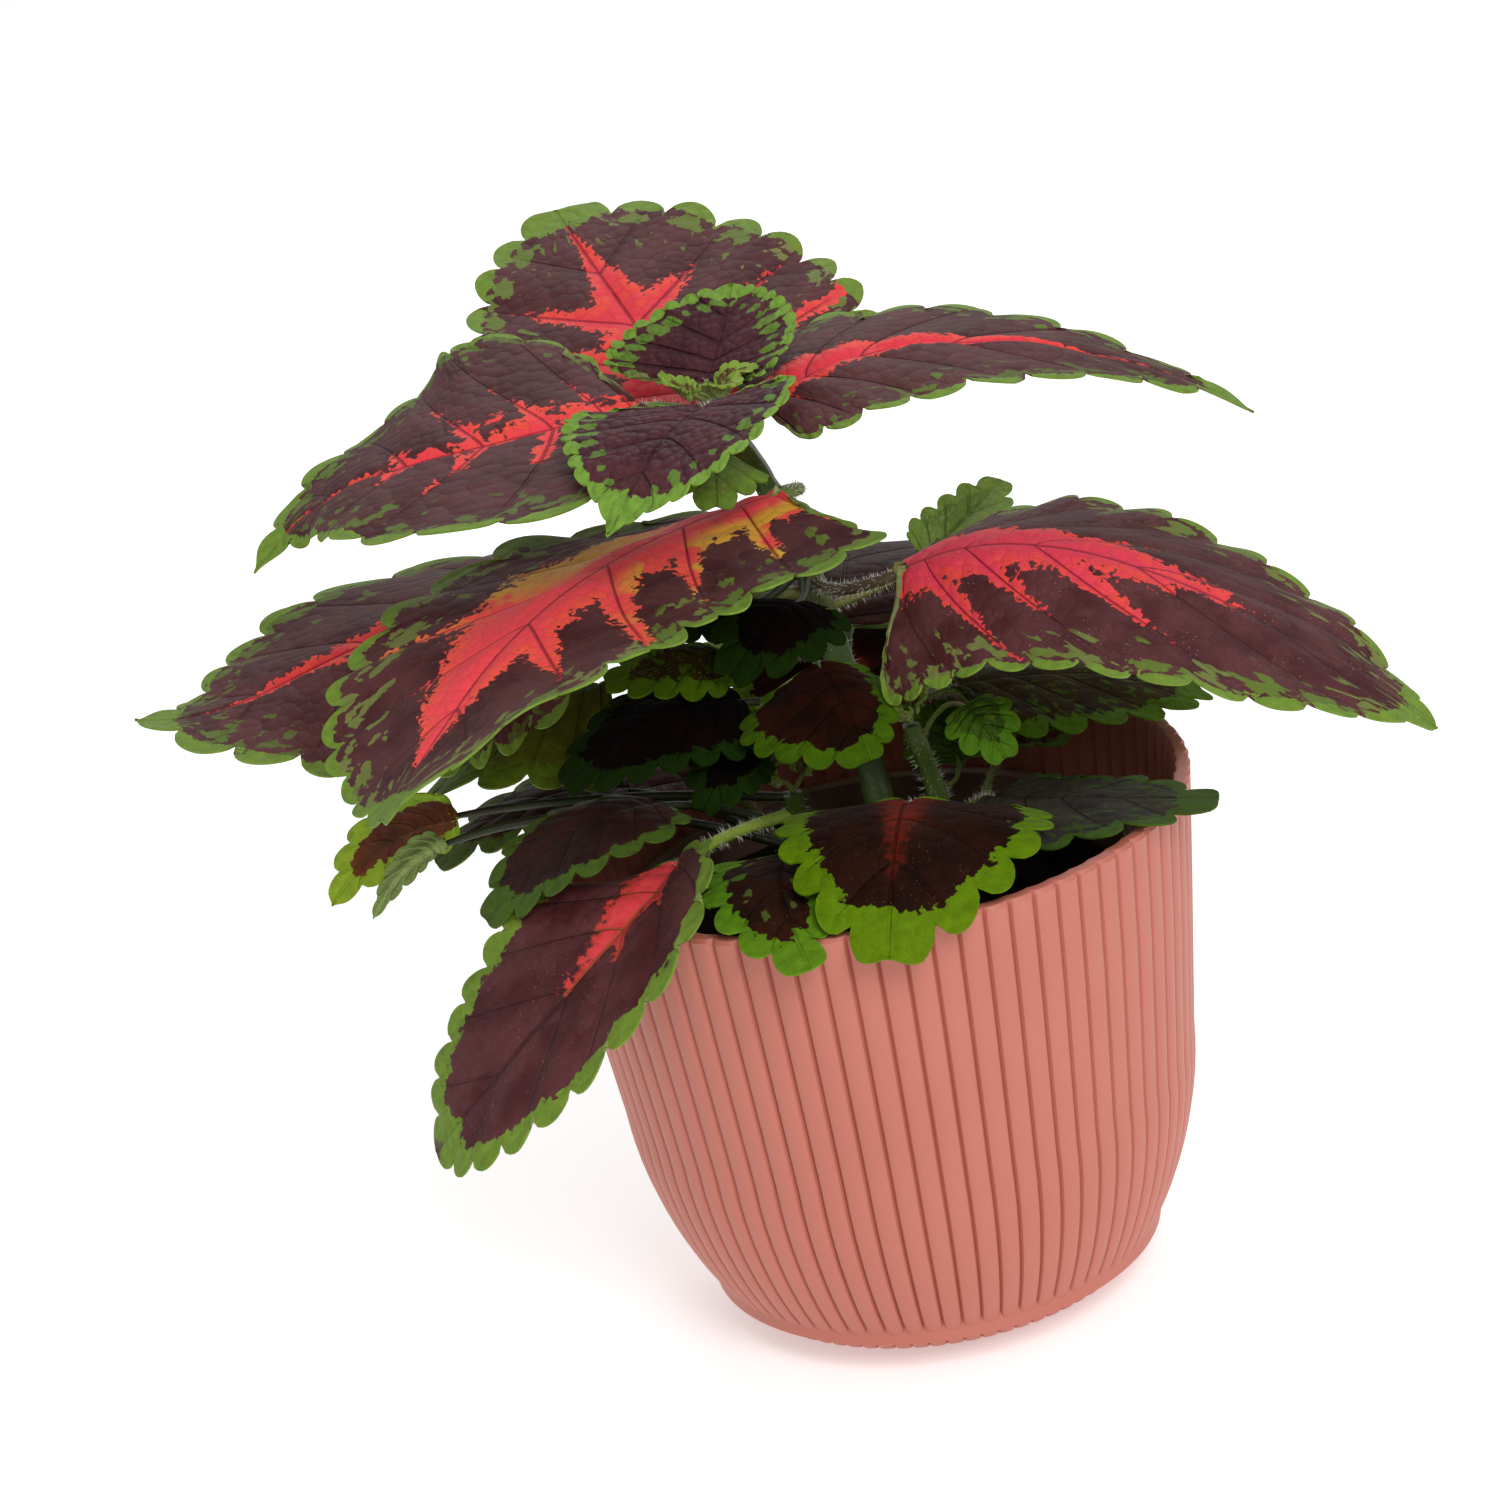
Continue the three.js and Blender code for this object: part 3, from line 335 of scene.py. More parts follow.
LOOKS = {
    "top_back": dict(
        flame_width=(0.36, 0.36), flame_length=1.02, belly=0.7, side_width=0.4, ragged=0.15,
        branches=((0.4, 0.9, 1.2, 1.3, 0.75, 0.1), (0.9, 1.3, 1.2, 0.8, 0.6, 0.1)),
        margin=2.8, second_row=0.8, scatter=0.05, fleck=PALE_OLIVE),
    "top_left": dict(
        flame=(222, 60, 70), flame_width=(0.1, 0.14), flame_length=1.0, side_width=0.24, ragged=0.4,
        branches=((0.3, 0.4, 0.4, 0.4, 0.25, 0.1), (0.3, 0.3, 0.35, 0.5, 0.25, 0.1)),
        margin=2.4, second_row=0.6, scatter=0.3, tooth=0.6, relief=0.5),
    "top_right": dict(
        flame_width=(0.3, 0.22), flame_length=1.0, side_reach=0.3, side_width=0.2, margin=2.0,
        scatter=0.3, relief=0.5, tooth=(1.2, 0.7)),
    "sunny": dict(
        flame=(236, 72, 80), flame_edge=(236, 86, 66), patch=YELLOW, flame_width=(0.34, 0.66),
        flame_length=0.9, belly=0.5, side_width=0.36,
        branches=((0.9, 0.7, 0.7, 0.95, 0.6, 0.2), (0.4, 0.5, 0.7, 0.85, 0.55, 0.3)),
        margin=3.2, scallop=0.7, second_row=0.7, scatter=0.55, fleck=PALE_OLIVE, dust=0.4),
    "wide_flame": dict(
        flame=(208, 58, 78), flame_edge=(218, 70, 62), flame_width=(0.34, 0.3), flame_length=0.68,
        belly=0.7, side_width=0.36, slant=1.3,
        branches=((0.4, 0.5, 0.4, 0.4, 0.3, 0.1), (0.3, 0.85, 0.58, 0.62, 0.2, 0.1)),
        tooth=(1.0, 0.6), tip_start=0.8, point=0.5, margin=2.4, second_row=0.7, scatter=0.5,
        fleck=PALE_OLIVE, dust=0.9, stalk=(78, 66, 48)),
    "narrow_flame": dict(
        flame_width=0.24, flame_length=0.9, side_reach=0.3, side_width=0.2, scatter=0.5),
    "low_flame": dict(
        flame=(208, 62, 70), flame_edge=(180, 54, 48), vein=(142, 96, 44), flame_width=(0.22, 0.36),
        flame_length=0.5, side_reach=0.5, side_width=0.25, soft=0.06, margin=4.6, scallop=0.3,
        second_row=0, scatter=0, withered=0.975, dust=0.5, stalk=(134, 156, 62)),
    # Field, flame and veins darkened as painted shade, for leaves in the shade among the others.
    "painted_shade_flame": dict(
        flame=(108, 36, 26), flame_edge=(70, 25, 15), vein=(64, 18, 14), flame_width=0.36,
        flame_length=0.8, belly=0.35, side_reach=0.01, soft=0.4, side_veins=6,
        field=(32, 15, 9), field_tone_and_sheen=(44, 21, 13), green=(86, 116, 12),
        margin=5.2, scallop=0.35, second_row=0, scatter=0, shine=0.08),
    "crown": PLAIN | dict(
        field=(60, 26, 36), field_tone_and_sheen=(76, 38, 44), green=(104, 140, 50), fleck=(88, 120, 44),
        scallop=0.85, second_row=1.05, scatter=0, cell_size=2.0, tip_start=0.84, relief=0.9,
        quilt=1.3),
    "shade": DIM | dict(
        field=(38, 18, 16), field_tone_and_sheen=(54, 27, 24), green=(66, 90, 30), fleck=(60, 66, 26),
        margin=3.4, scallop=0.4, stalk=(40, 46, 22), hairs=0),
    "dark_shade": DIM | SHADED_STALK | dict(
        field=(12, 8, 7), field_tone_and_sheen=(22, 12, 10), green=(26, 42, 11), fleck=(30, 36, 14),
        margin=3.6, scallop=0.4, shine=0.05, roughness=0.8),
    "deep_shade": DIM | dict(
        field=(28, 14, 8), field_tone_and_sheen=(46, 21, 12), green=(58, 84, 12), fleck=(40, 48, 16),
        margin=3.6, scallop=0.4, shine=0.06, roughness=0.75, hairs=0),
    "olive_shade": SHADED | dict(
        field=(40, 30, 12), field_tone_and_sheen=(54, 44, 16), green=(66, 94, 14), fleck=(60, 76, 18),
        margin=4.2, scallop=0.3, second_row=0.4, scatter=0.3, shine=0.06, roughness=0.75),
    "lobed_shade": DIM | dict(
        field=(70, 78, 26), field_tone_and_sheen=(88, 98, 34), green=(86, 108, 34), fleck=(60, 76, 24),
        under=(84, 104, 40), margin=6, scallop=0.1, shine=0.08),
    "grey_shade": SHADED | dict(
        field=(40, 36, 32), field_tone_and_sheen=(58, 52, 46), green=(58, 82, 26), fleck=(56, 74, 36),
        margin=2.2, scallop=0.3, scatter=0.5, shine=0.1),
    "green_rim": PLAIN | dict(
        field=(36, 20, 14), field_tone_and_sheen=(50, 26, 18), green=(84, 124, 26), margin=4.6,
        scallop=0.3, scatter=0, shine=0.1),
    "green_shade": SHADED | dict(
        field=(42, 62, 16), field_tone_and_sheen=(58, 80, 22), green=(64, 98, 20), fleck=(70, 96, 30),
        scallop=0.3, shine=0.08),
    "green_young": PLAIN | dict(
        field=(84, 104, 40), field_tone_and_sheen=(104, 124, 56), fleck=(120, 144, 66), side_veins=5,
        cell_size=2.0, scallop=0.4),
    "backlit": DIM | SHADED_STALK | dict(
        field=(66, 33, 6), field_tone_and_sheen=(90, 49, 10), green=(112, 146, 30), fleck=(120, 130, 40),
        margin=4, scallop=0.3, tooth=0.6, glow=0.2, same_below=True),
    "sage_back": SHADED | SHADED_STALK | dict(
        field=(60, 52, 26), field_tone_and_sheen=(76, 70, 34), green=(84, 110, 44), under=(112, 130, 74),
        scatter=0, tooth=0.5),
    "shoot": PLAIN | dict(
        field=(84, 60, 34), field_tone_and_sheen=(96, 88, 40), green=(116, 142, 52), fleck=(120, 144, 66),
        margin=1.8, scallop=0.5, side_veins=4, cell_size=1.3, quilt=0.3, relief=0.3),
}
LOOKS["crown_front"] = LOOKS["crown"] | dict(
    point=0.55, tip_start=0.66, green_tip=0.78, second_row=0.9)


def seen(colour, strength=1.0):
    """A colour written as seen, as the light-true values that a shader takes."""
    return tuple((strength * c / 255) ** 2.2 for c in colour) + (1.0,)


# ---------------------------------------------------------------- helpers

def deselect():
    bpy.ops.object.select_all(action="DESELECT")


def choose(piece):
    deselect()
    piece.select_set(True)
    bpy.context.view_layer.objects.active = piece


def named(piece, name):
    piece.name = name
    piece.data.name = name
    return piece


def coat(piece, materials, index=0):
    """Gives a piece its materials, with one of them on all its faces."""
    for material in materials:
        piece.data.materials.append(material)
    piece.data.polygons.foreach_set("material_index", np.full(len(piece.data.polygons), index, int))


def dress(piece, node, slot, *materials):
    """Gives a finished piece its material and puts it in the place of its CAD node."""
    if materials:
        coat(piece, materials)
    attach(piece, "root")
    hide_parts(node)
    return piece


def smooth(piece, angle=40):
    choose(piece)
    bpy.ops.object.shade_smooth_by_angle(angle=math.radians(angle))


def join(pieces):
    deselect()
    for piece in pieces:
        piece.select_set(True)
    bpy.context.view_layer.objects.active = pieces[0]
    bpy.ops.object.join()
    return pieces[0]


def points_of(piece):
    places = np.empty(3 * len(piece.data.vertices))
    piece.data.vertices.foreach_get("co", places)
    return places.reshape(-1, 3)


def set_points(piece, places):
    piece.data.vertices.foreach_set("co", np.ascontiguousarray(places, float).ravel())
    piece.data.update()


def unit(vectors):
    return vectors / np.linalg.norm(vectors, axis=-1, keepdims=True)


def columns_at(place, places, table):
    """The columns of a table, each read at places between its rows."""
    return np.stack([np.interp(place, places, column) for column in table.T], axis=-1)


def curve_at(points, t):
    """The curve through evenly spaced points, as one polynomial, at the shares t."""
    points = np.asarray(points, float)
    t = np.asarray(t, float)[..., None]
    last = len(points) - 1
    place = 0
    for i, point in enumerate(points):
        weight = 1
        for j in range(last + 1):
            if j != i:
                weight = weight * (t * last - j) / (i - j)
        place = place + weight * point
    return place


def direction_at(points, t):
    step = 0.01
    return unit(curve_at(points, np.asarray(t) + step) - curve_at(points, np.asarray(t) - step))


def drawn_out(name, route, radii, sides):
    """A closed piece: a disc at the start of the route, drawn out ring by ring along it."""
    route = np.asarray(route, float) * MM
    deselect()
    bpy.ops.mesh.primitive_circle_add(
        vertices=sides, radius=radii[0] * MM, fill_type="NGON", location=route[0])
    piece = named(bpy.context.object, name)
    bpy.ops.object.transform_apply(location=True)
    bpy.ops.object.mode_set(mode="EDIT")
    for i in range(1, len(route)):
        bpy.ops.mesh.extrude_region_move(
            TRANSFORM_OT_translate={"value": route[i] - route[i - 1]})
        scale = radii[i] / radii[i - 1]
        bpy.ops.transform.resize(value=(scale, scale, 1), center_override=route[i])
    bpy.ops.mesh.select_all(action="SELECT")
    bpy.ops.mesh.normals_make_consistent(inside=False)
    bpy.ops.object.mode_set(mode="OBJECT")
    return piece


def turned(name, profile, sides):
    """A closed piece turned round the Z axis along a profile of radii and heights."""
    radii, heights = zip(*profile)
    return drawn_out(name, [(0, 0, height) for height in heights], radii, sides)


# ---------------------------------------------------------------- shader graph

class Number:
    """A number in a finish, worked out by a node. Sums with it are written as usual."""

    def __init__(self, finish, socket):
        self.finish = finish
        self.socket = socket

    def __add__(self, other):
        return self.finish.maths("ADD", self, other)

    def __sub__(self, other):
        return self.finish.maths("SUBTRACT", self, other)

    def __rsub__(self, other):
        return self.finish.maths("SUBTRACT", other, self)

    def __mul__(self, other):
        return self.finish.maths("MULTIPLY", self, other)

    def __truediv__(self, other):
        return self.finish.maths("DIVIDE", self, other)

    def __pow__(self, other):
        return self.finish.maths("POWER", self, other)

    __radd__ = __add__
    __rmul__ = __mul__

    def at_least(self, other):
        return self.finish.maths("MAXIMUM", self, other)

    def rise(self, low, high):
        """Rises smoothly from 0 at low to 1 at high."""
        inputs = {"Value": self, "From Min": low, "From Max": high}
        outputs = self.finish.node("MapRange", inputs, interpolation_type="SMOOTHSTEP")
        return Number(self.finish, outputs["Result"])

    def fall(self, low, high):
        return 1 - self.rise(low, high)


class Finish:
    """A material and the few kinds of node that the finishes below are made of."""

    def __init__(self, name):
        self.material = bpy.data.materials.new(name)
        self.material.use_nodes = True
        self.tree = self.material.node_tree
        self.shader = self.tree.nodes["Principled BSDF"]

    def plug(self, socket, value):
        if isinstance(value, Number):
            value = value.socket
        if isinstance(value, bpy.types.NodeSocket):
            self.tree.links.new(value, socket)
        else:
            socket.default_value = value

    def node(self, kind, inputs, **settings):
        """Adds a node with its settings and inputs, and gives its outputs."""
        node = self.tree.nodes.new("ShaderNode" + kind)
        for name, value in settings.items():
            setattr(node, name, value)
        for key, value in inputs.items():
            self.plug(node.inputs[key], value)
        return node.outputs

    def maths(self, operation, *values):
        return Number(self, self.node("Math", dict(enumerate(values)), operation=operation)[0])

    def diagonal(self, first, second):
        return self.maths("SQRT", first * first + second * second)

    def blend(self, share, first, second):
        return self.node("Mix", {"Factor": share, "A": first, "B": second}, data_type="RGBA")["Result"]

    def mottled(self, share, tints):
        return self.blend(share, *(seen(tint) for tint in tints))

    def add(self, vector, amount):
        return self.node("VectorMath", {0: vector, 1: amount}, operation="ADD")[0]

    def split(self, vector):
        return [Number(self, socket) for socket in self.node("SeparateXYZ", {0: vector})]

    def merge(self, x, y):
        return self.node("CombineXYZ", {0: x, 1: y})[0]

    def map(self, name):
        return self.node("UVMap", {}, uv_map=name)[0]

    def place(self):
        return self.node("TexCoord", {})["Object"]

    def noise(self, vector, scale, detail, dimensions="3D"):
        inputs = {"Vector": vector, "Scale": scale, "Detail": detail}
        return Number(self, self.node("TexNoise", inputs, noise_dimensions=dimensions)[0])

    def cells(self, vector, scale, randomness=0.8, feature="F1"):
        """Scattered cells: the distance from each one's middle or edge, and its own colour."""
        inputs = {"Vector": vector, "Scale": scale, "Randomness": randomness}
        outputs = self.node("TexVoronoi", inputs, voronoi_dimensions="2D", feature=feature)
        return Number(self, outputs["Distance"]), outputs.get("Color")

    def chance(self, value):
        """A random number from 0 to 1 for each whole number."""
        outputs = self.node("TexWhiteNoise", {"W": value}, noise_dimensions="1D")
        return Number(self, outputs["Value"])

    def bump(self, height, depth):
        normal = self.node("Bump", {"Height": height, "Distance": depth})[0]
        self.plug(self.shader.inputs["Normal"], normal)

    def set(self, **values):
        for name, value in values.items():
            self.plug(self.shader.inputs[name.replace("_", " ").title().replace("Ior", "IOR")], value)


# ---------------------------------------------------------------- leaf finish

# Side veins are counted from 1 at the base, in a block of numbers for each half of a leaf.
VEIN_BLOCK = 20
VEIN_START = 1
CAP_HALF_WIDTH = 0.42
ISLAND_HALF_WIDTH = 0.3


class LeafFinish(Finish):
    """The upper or the under face of one leaf. The "vein" map counts side veins along the blade
    and goes 0 to 1 from midrib to margin, "flat" is the blade laid flat, in centimetres, and
    "rim" is the distance from the margin in centimetres and the place along the margin."""

    def __init__(self, name, look, leaf, seed):
        super().__init__(name)
        self.look = look
        self.leaf = leaf
        self.seed = seed
        self.vein_x, self.out, _ = self.split(self.map("vein"))
        self.flat = self.map("flat")
        _, self.across, _ = self.split(self.flat)
        rim, self.margin_place, _ = self.split(self.map("rim"))
        self.rim = rim * 10
        self.on_right = self.across.rise(-0.001, 0.001)
        self.fringe = self.wander(7, 4) * 0.3
        self.patch = self.cloud(0.8, 3)
        self.flame_share = 0.0
        self.find_cells()
        self.find_veins()

    def tint(self, key, strength=1.0):
        return seen(self.look[key], strength)

    def cloud(self, scale, detail):
        return self.noise(self.flat, scale, detail, "2D")

    def wander(self, scale, detail):
        return self.cloud(scale, detail) - 0.5

    def halves(self, value):
        """One value for both halves of the blade, or a pair for the left and the right."""
        left, right = (float(half) for half in np.broadcast_to(value, 2))
        return self.on_right * (right - left) + left

    def find_cells(self):
        """Small puffed cells between the finest veins, each with its own chances."""
        cells = 10 / self.look["cell_size"]
        shifted = self.add(self.flat, self.wander(cells * 0.5, 2) * (0.5 / cells))
        self.to_middle, colour = self.cells(shifted, cells)
        self.chances = self.split(colour)
        edge, _ = self.cells(shifted, cells, feature="DISTANCE_TO_EDGE")
        self.fine_vein = edge.fall(0.01, 0.1)

    def find_veins(self):
        """The midrib, the side veins and how far along the midrib each side vein starts."""
        veins = self.look["side_veins"]
        self.count = self.maths("WRAP", self.vein_x, VEIN_BLOCK, 0) - VEIN_START
        self.near_vein = self.maths("PINGPONG", self.count, 0.5)
        to_midrib = self.maths("ABSOLUTE", self.across) * 10
        to_side_vein = self.near_vein * (rib_length(self.leaf) / veins)
        self.midrib = to_midrib.fall(0.12, 0.55)
        self.side_vein = to_side_vein.fall(0.05, 0.45) * self.out.fall(0.75, 0.95)
        self.main_veins = self.midrib.at_least(self.side_vein)
        self.ahead = (self.count / veins).at_least(0) ** VEIN_SWEEP

    def lay(self, share, key, strength=1.0):
        """Lays one of the look's colours over the colour so far."""
        self.colour = self.blend(share, self.colour, self.tint(key, strength))

    def lay_field(self):
        """The blade's own colour, in lighter patches that are partly painted sheen, and darker along the
        sunken veins as painted shade.
        """
        self.colour = self.tint("field")
        # Lighter patches of the field: partly the leaf's own tone, partly painted sheen.
        self.lay((self.chances[0] * 0.12 + self.patch).rise(0.35, 0.75), "field_tone_and_sheen")
        # Painted shade in the grooves of the fine veins and the main veins.
        self.lay(self.fine_vein * 0.2, "field", 0.8)
        self.lay(self.main_veins * 0.2, "field", 0.75)

    def branch_reach(self, fade):
        """How far the flame follows each side vein."""
        if "branches" in self.look:
            reach = 0.01
            for number, pair in enumerate(zip(*self.look["branches"]), 1):
                reach += self.maths("COMPARE", self.count, number, 0.5) * self.halves(pair)
            return reach
        luck = self.chance(self.maths("ROUND", self.vein_x + 37 * self.seed)) * 0.9 + 0.45
        reach = self.halves(self.look["side_reach"]) * luck * (fade * 0.8 + 0.2)
        return reach.at_least(0.01)

    def flame(self):
        """Above 0 inside the flame that runs along the midrib and out along the side veins."""
        look = self.look
        length = look["flame_length"]
        fade = (1 - self.ahead / length).at_least(0)
        middle = fade ** look["belly"] * self.halves(look["flame_width"]) - self.out
        middle -= self.ahead.rise(length * 0.9, length) * 0.3
        side = (1 - self.out / self.branch_reach(fade)) * look["side_width"] - self.near_vein
        side -= self.ahead.rise(length * 0.6, length)
        cell_step = (self.chances[1] - 0.5) * (look["ragged"] * 0.5)
        return (middle * 1.3).at_least(side * 0.9) + cell_step + self.fringe

    def lay_flame(self):
        """Coral, more orange at the edge, golden near the base of a sunlit leaf, dark veins."""
        flame = self.flame()
        self.flame_share = flame.rise(0.0, self.look["soft"])
        field, self.colour = self.colour, self.tint("flame_edge")
        self.lay((flame + (self.chances[2] - 0.5) * 0.12).rise(0.0, 0.2), "flame")
        if "patch" in self.look:
            golden = self.cloud(0.7, 2) + self.chances[0] * 0.08 + self.on_right * 0.1
            near_base = self.ahead.fall(0.18, 0.3) * self.out.rise(0.1, 0.25)
            self.lay(golden.rise(0.52, 0.6) * near_base, "patch")
        self.lay(self.fine_vein * 0.2, "vein")
        self.lay(self.main_veins * 0.75, "vein", 0.85)
        self.colour = self.blend(self.flame_share, field, self.colour)

    def find_teeth(self):
        """The way from each tooth's crest, its own chance and the wobble of the green's edge."""
        tooth_place = self.margin_place * self.leaf["teeth"]
        self.to_crest = 0.5 - self.maths("PINGPONG", tooth_place, 0.5)
        number = self.maths("FLOOR", tooth_place) + self.on_right * 31 + 67 * self.seed
        self.tooth_chance = self.chance(number)
        self.wobble = self.wander(3.5, 3) * 1.1 + self.fringe * 0.8

    def margin(self):
        """Each tooth is green, and the last stretch of the blade too."""
        tip = self.margin_place.rise(self.look["green_tip"], 1.0)
        depth = (tip * 2.5 + self.tooth_chance * 0.3 + 0.85) * self.look["margin"]
        sideways = self.to_crest * (1 / CAP_HALF_WIDTH) * (1 - tip) * self.look["scallop"]
        return (self.diagonal(sideways, self.rim / depth) + self.wobble).fall(0.96, 1.04)

    def islands(self):
        """Behind the teeth stands a row of olive islands, and more of them lie further in, drawn
        out along the side veins."""
        margin = self.look["margin"]
        second_row = self.look["second_row"]
        scatter = self.look["scatter"]
        island = 0.0
        if second_row > 0:
            side = self.to_crest * (1 / ISLAND_HALF_WIDTH)
            deep = (self.rim - margin * 1.9) * (1.6 / margin)
            row = self.diagonal(side, deep) + self.wobble * 1.6 - self.tooth_chance * second_row
            island = row.fall(second_row * 0.5, second_row * 0.5 + 0.1)
        if scatter > 0:
            zone = 1 - self.rim / (margin * 6)
            streak = self.noise(self.merge(self.vein_x * 4.5, self.out * 8), 1.0, 2, "2D")
            streak += zone * (0.25 * scatter) + self.fringe * 0.3
            island = (streak.rise(0.65, 0.69) * zone.rise(0.0, 0.2)).at_least(island)
        return island

    def lay_greens(self):
        """The islands, the margin and a withered tip."""
        self.find_teeth()
        olive = self.blend(self.tooth_chance, self.tint("fleck"), self.tint("green", 0.88))
        self.colour = self.blend(self.islands() * (1 - self.flame_share) * 0.9, self.colour, olive)
        fresh = self.blend(self.cloud(4, 3), self.tint("green", 0.84), self.tint("green", 1.14))
        fresh = self.blend(self.fine_vein * 0.2, fresh, self.tint("green", 1.2))
        self.colour = self.blend(self.margin(), self.colour, fresh)
        start = self.look["withered"]
        if start < 1:
            dead = (self.margin_place + self.wobble * 0.02).rise(start, start + 0.006)
            self.colour = self.blend(dead, self.colour, seen(WITHERED_GREY))

    def finish_below(self):
        """Paler, matt, with the veins standing out."""
        self.lay(0.6, "under")
        self.lay(self.midrib.at_least(self.side_vein * 0.8) * 0.6, "under", 1.2)
        self.set(roughness=0.75, specular_ior_level=0.2)
        self.bump(self.fine_vein * 0.15 + self.side_vein * 0.25, MM)

    def finish_above(self):
        """Satin and quilted, with specks of dust here and there."""
        look = self.look
        to_speck, speck_colour = self.cells(self.flat, 6.0, randomness=1.0)
        size, strength, _ = self.split(speck_colour)
        dust = to_speck.fall(0.02, size * 0.06 + 0.03) * strength * self.cloud(1.1, 2).rise(0.45, 0.65)
        self.colour = self.blend(dust * look["dust"], self.colour, seen(DUST_GREY))
        self.set(roughness=self.patch * 0.15 + look["roughness"], specular_ior_level=look["shine"])
        dome = 1 - self.to_middle ** 2
        height = (dome - self.side_vein * 0.8) * look["relief"] - self.midrib * 0.25
        self.bump(height + self.cloud(20, 2) * 0.05, MM)


def leaf_finish(name, look, leaf, seed, under=False):
    finish = LeafFinish(name, look, leaf, seed)
    finish.lay_field()
    if look["flame_width"] != 0:
        finish.lay_flame()
    finish.lay_greens()
    if under:
        finish.finish_below()
    else:
        finish.finish_above()
    finish.set(base_color=finish.colour, subsurface_weight=look["glow"], subsurface_scale=0.003)
    return finish.material


def stalk_finish(name, colour, flush=0.45):
    """Stalks and stems: green with a flush of maroon, faint lines along them."""
    finish = Finish(name)
    place = finish.place()
    patch = finish.noise(place, 160, 3)
    lines = finish.noise(place, 900, 2)
    green = finish.blend(patch, seen(colour, 0.78), seen(colour, 1.15))
    # The maroon flush darkens with the stalk's green, so a stalk darkened as painted shade gets a flush
    # in painted shade too.
    maroon = seen(STALK_FLUSH, colour[1] / USUAL_LOOK["stalk"][1])
    share = finish.noise(place, 60, 2).rise(0.45, 0.7) * flush
    finish.set(base_color=finish.blend(share, green, maroon), roughness=0.5, specular_ior_level=0.4,
               subsurface_weight=0.1, subsurface_scale=0.002)
    finish.bump(lines + patch, 0.0002)
    return finish.material


def hair_finish():
    finish = Finish("pale_hairs")
    finish.set(base_color=finish.mottled(finish.noise(finish.place(), 400, 1), HAIR_TINTS), roughness=0.6)
    return finish.material


# ---------------------------------------------------------------- leaves

def of_half(value, right):
    """A value of a leaf's half for each point: one for both, or a pair for left and right."""
    left_value, right_value = np.broadcast_to(value, 2)
    return np.where(right, right_value, left_value)


def outline(t, taper):
    """Half width of the blade, as a share of its widest, from the base (0) to the tip (1)."""
    rise = np.sin(np.pi / 2 * np.clip(t / BROADEST, 0, 1)) ** BASE_ROUNDNESS
    u = np.clip((t - BROADEST) / (1 - BROADEST), 0, 1)
    return np.where(t < BROADEST, rise, np.maximum(1 - u, 1e-9) ** taper * (1 + taper * u))


def blade_point(leaf, t, right, out, lift):
    """Points of the blade: t along the midrib, out along the blade, lift above its face. Both
    halves hang most at the base and flatten towards the tip."""
    origin = curve_at(leaf["rib"], t)
    ahead = direction_at(leaf["rib"], t)
    face = np.array(leaf["face"], float)
    tip_face = np.array(leaf.get("tip_face", leaf["face"]), float)
    face = face + (tip_face - face) * t[..., None]
    across = unit(np.cross(ahead, face))
    up = np.cross(across, ahead)
    side = np.where(right, 1, -1)
    fold = of_half(leaf["fold"], right) * (BASE_FOLD - FOLD_EASE * t)
    curl = of_half(leaf["curl"], right) * out / of_half(leaf["wide"], right)
    slope = np.radians(fold + curl / 2)
    tilt = np.radians(fold + curl)
    place = origin + across * (side * out * np.cos(slope))[..., None]
    place = place + up * (out * np.sin(slope))[..., None]
    normal = up * np.cos(tilt)[..., None] - across * (side * np.sin(tilt))[..., None]
    return place + normal * lift[..., None]


def margin_line(leaf, half, phase):
    """One half's margin before it is cut into teeth, at shares of its own length: how far along
    the midrib and out from it, its outward direction there, and its whole length."""
    length = rib_length(leaf)
    t = np.linspace(0, 1, MARGIN_SAMPLES) ** 2
    wide, lobe = (np.broadcast_to(leaf[key], 2)[half] for key in ("wide", "lobe"))
    along = length * (t - lobe * np.sin(np.pi * np.minimum(1, t / LOBE_REACH)))
    out = wide * outline(t, leaf["taper"])
    line = np.stack([along, np.maximum(STALK_HALF_WIDTH * (1 - t), out)], axis=1)
    run = np.concatenate([[0], np.cumsum(np.linalg.norm(np.diff(line, axis=0), axis=1))])
    at = lambda share: columns_at(share * run[-1], run, line)
    forward = unit(at(np.minimum(1, phase + 0.01)) - at(np.maximum(0, phase - 0.01)))
    return at(phase), np.stack([-forward[..., 1], forward[..., 0]], axis=-1), run[-1]


def rib_length(leaf):
    return float(np.linalg.norm(np.subtract(leaf["rib"][-1], leaf["rib"][0])))


def blade_grid(name, leaf, look):
    """A flat grid to shape a blade from. Its rows follow the side veins, its middle column is the
    midrib: phase goes from 0 at the base to 1 at the tip, share from the midrib to the margin.
    Foot is where a row leaves the midrib, vein counts the side veins."""
    length = rib_length(leaf)
    rows = leaf["teeth"] * int(np.clip(round(length / leaf["teeth"] / ROW_SPACING), *ROWS_A_TOOTH))
    half = int(np.clip(round(np.max(leaf["wide"]) / COLUMN_SPACING), *COLUMNS_A_HALF))
    deselect()
    bpy.ops.mesh.primitive_grid_add(x_subdivisions=rows, y_subdivisions=2 * half, size=1)
    piece = named(bpy.context.object, name)
    flat = points_of(piece)
    grid = SimpleNamespace(length=length)
    grid.column = np.round((flat[:, 1] + 0.5) * 2 * half) - half
    grid.right = grid.column > 0
    grid.share = np.abs(grid.column) / half
    grid.phase = np.round((flat[:, 0] + 0.5) * rows) / rows
    grid.foot = grid.phase ** VEIN_SWEEP
    grid.vein = grid.phase * look["side_veins"] - look["slant"] * grid.share
    grid.to_vein = np.abs(grid.vein - np.round(grid.vein))
    grid.vein_spacing = length / look["side_veins"]
    return piece, grid


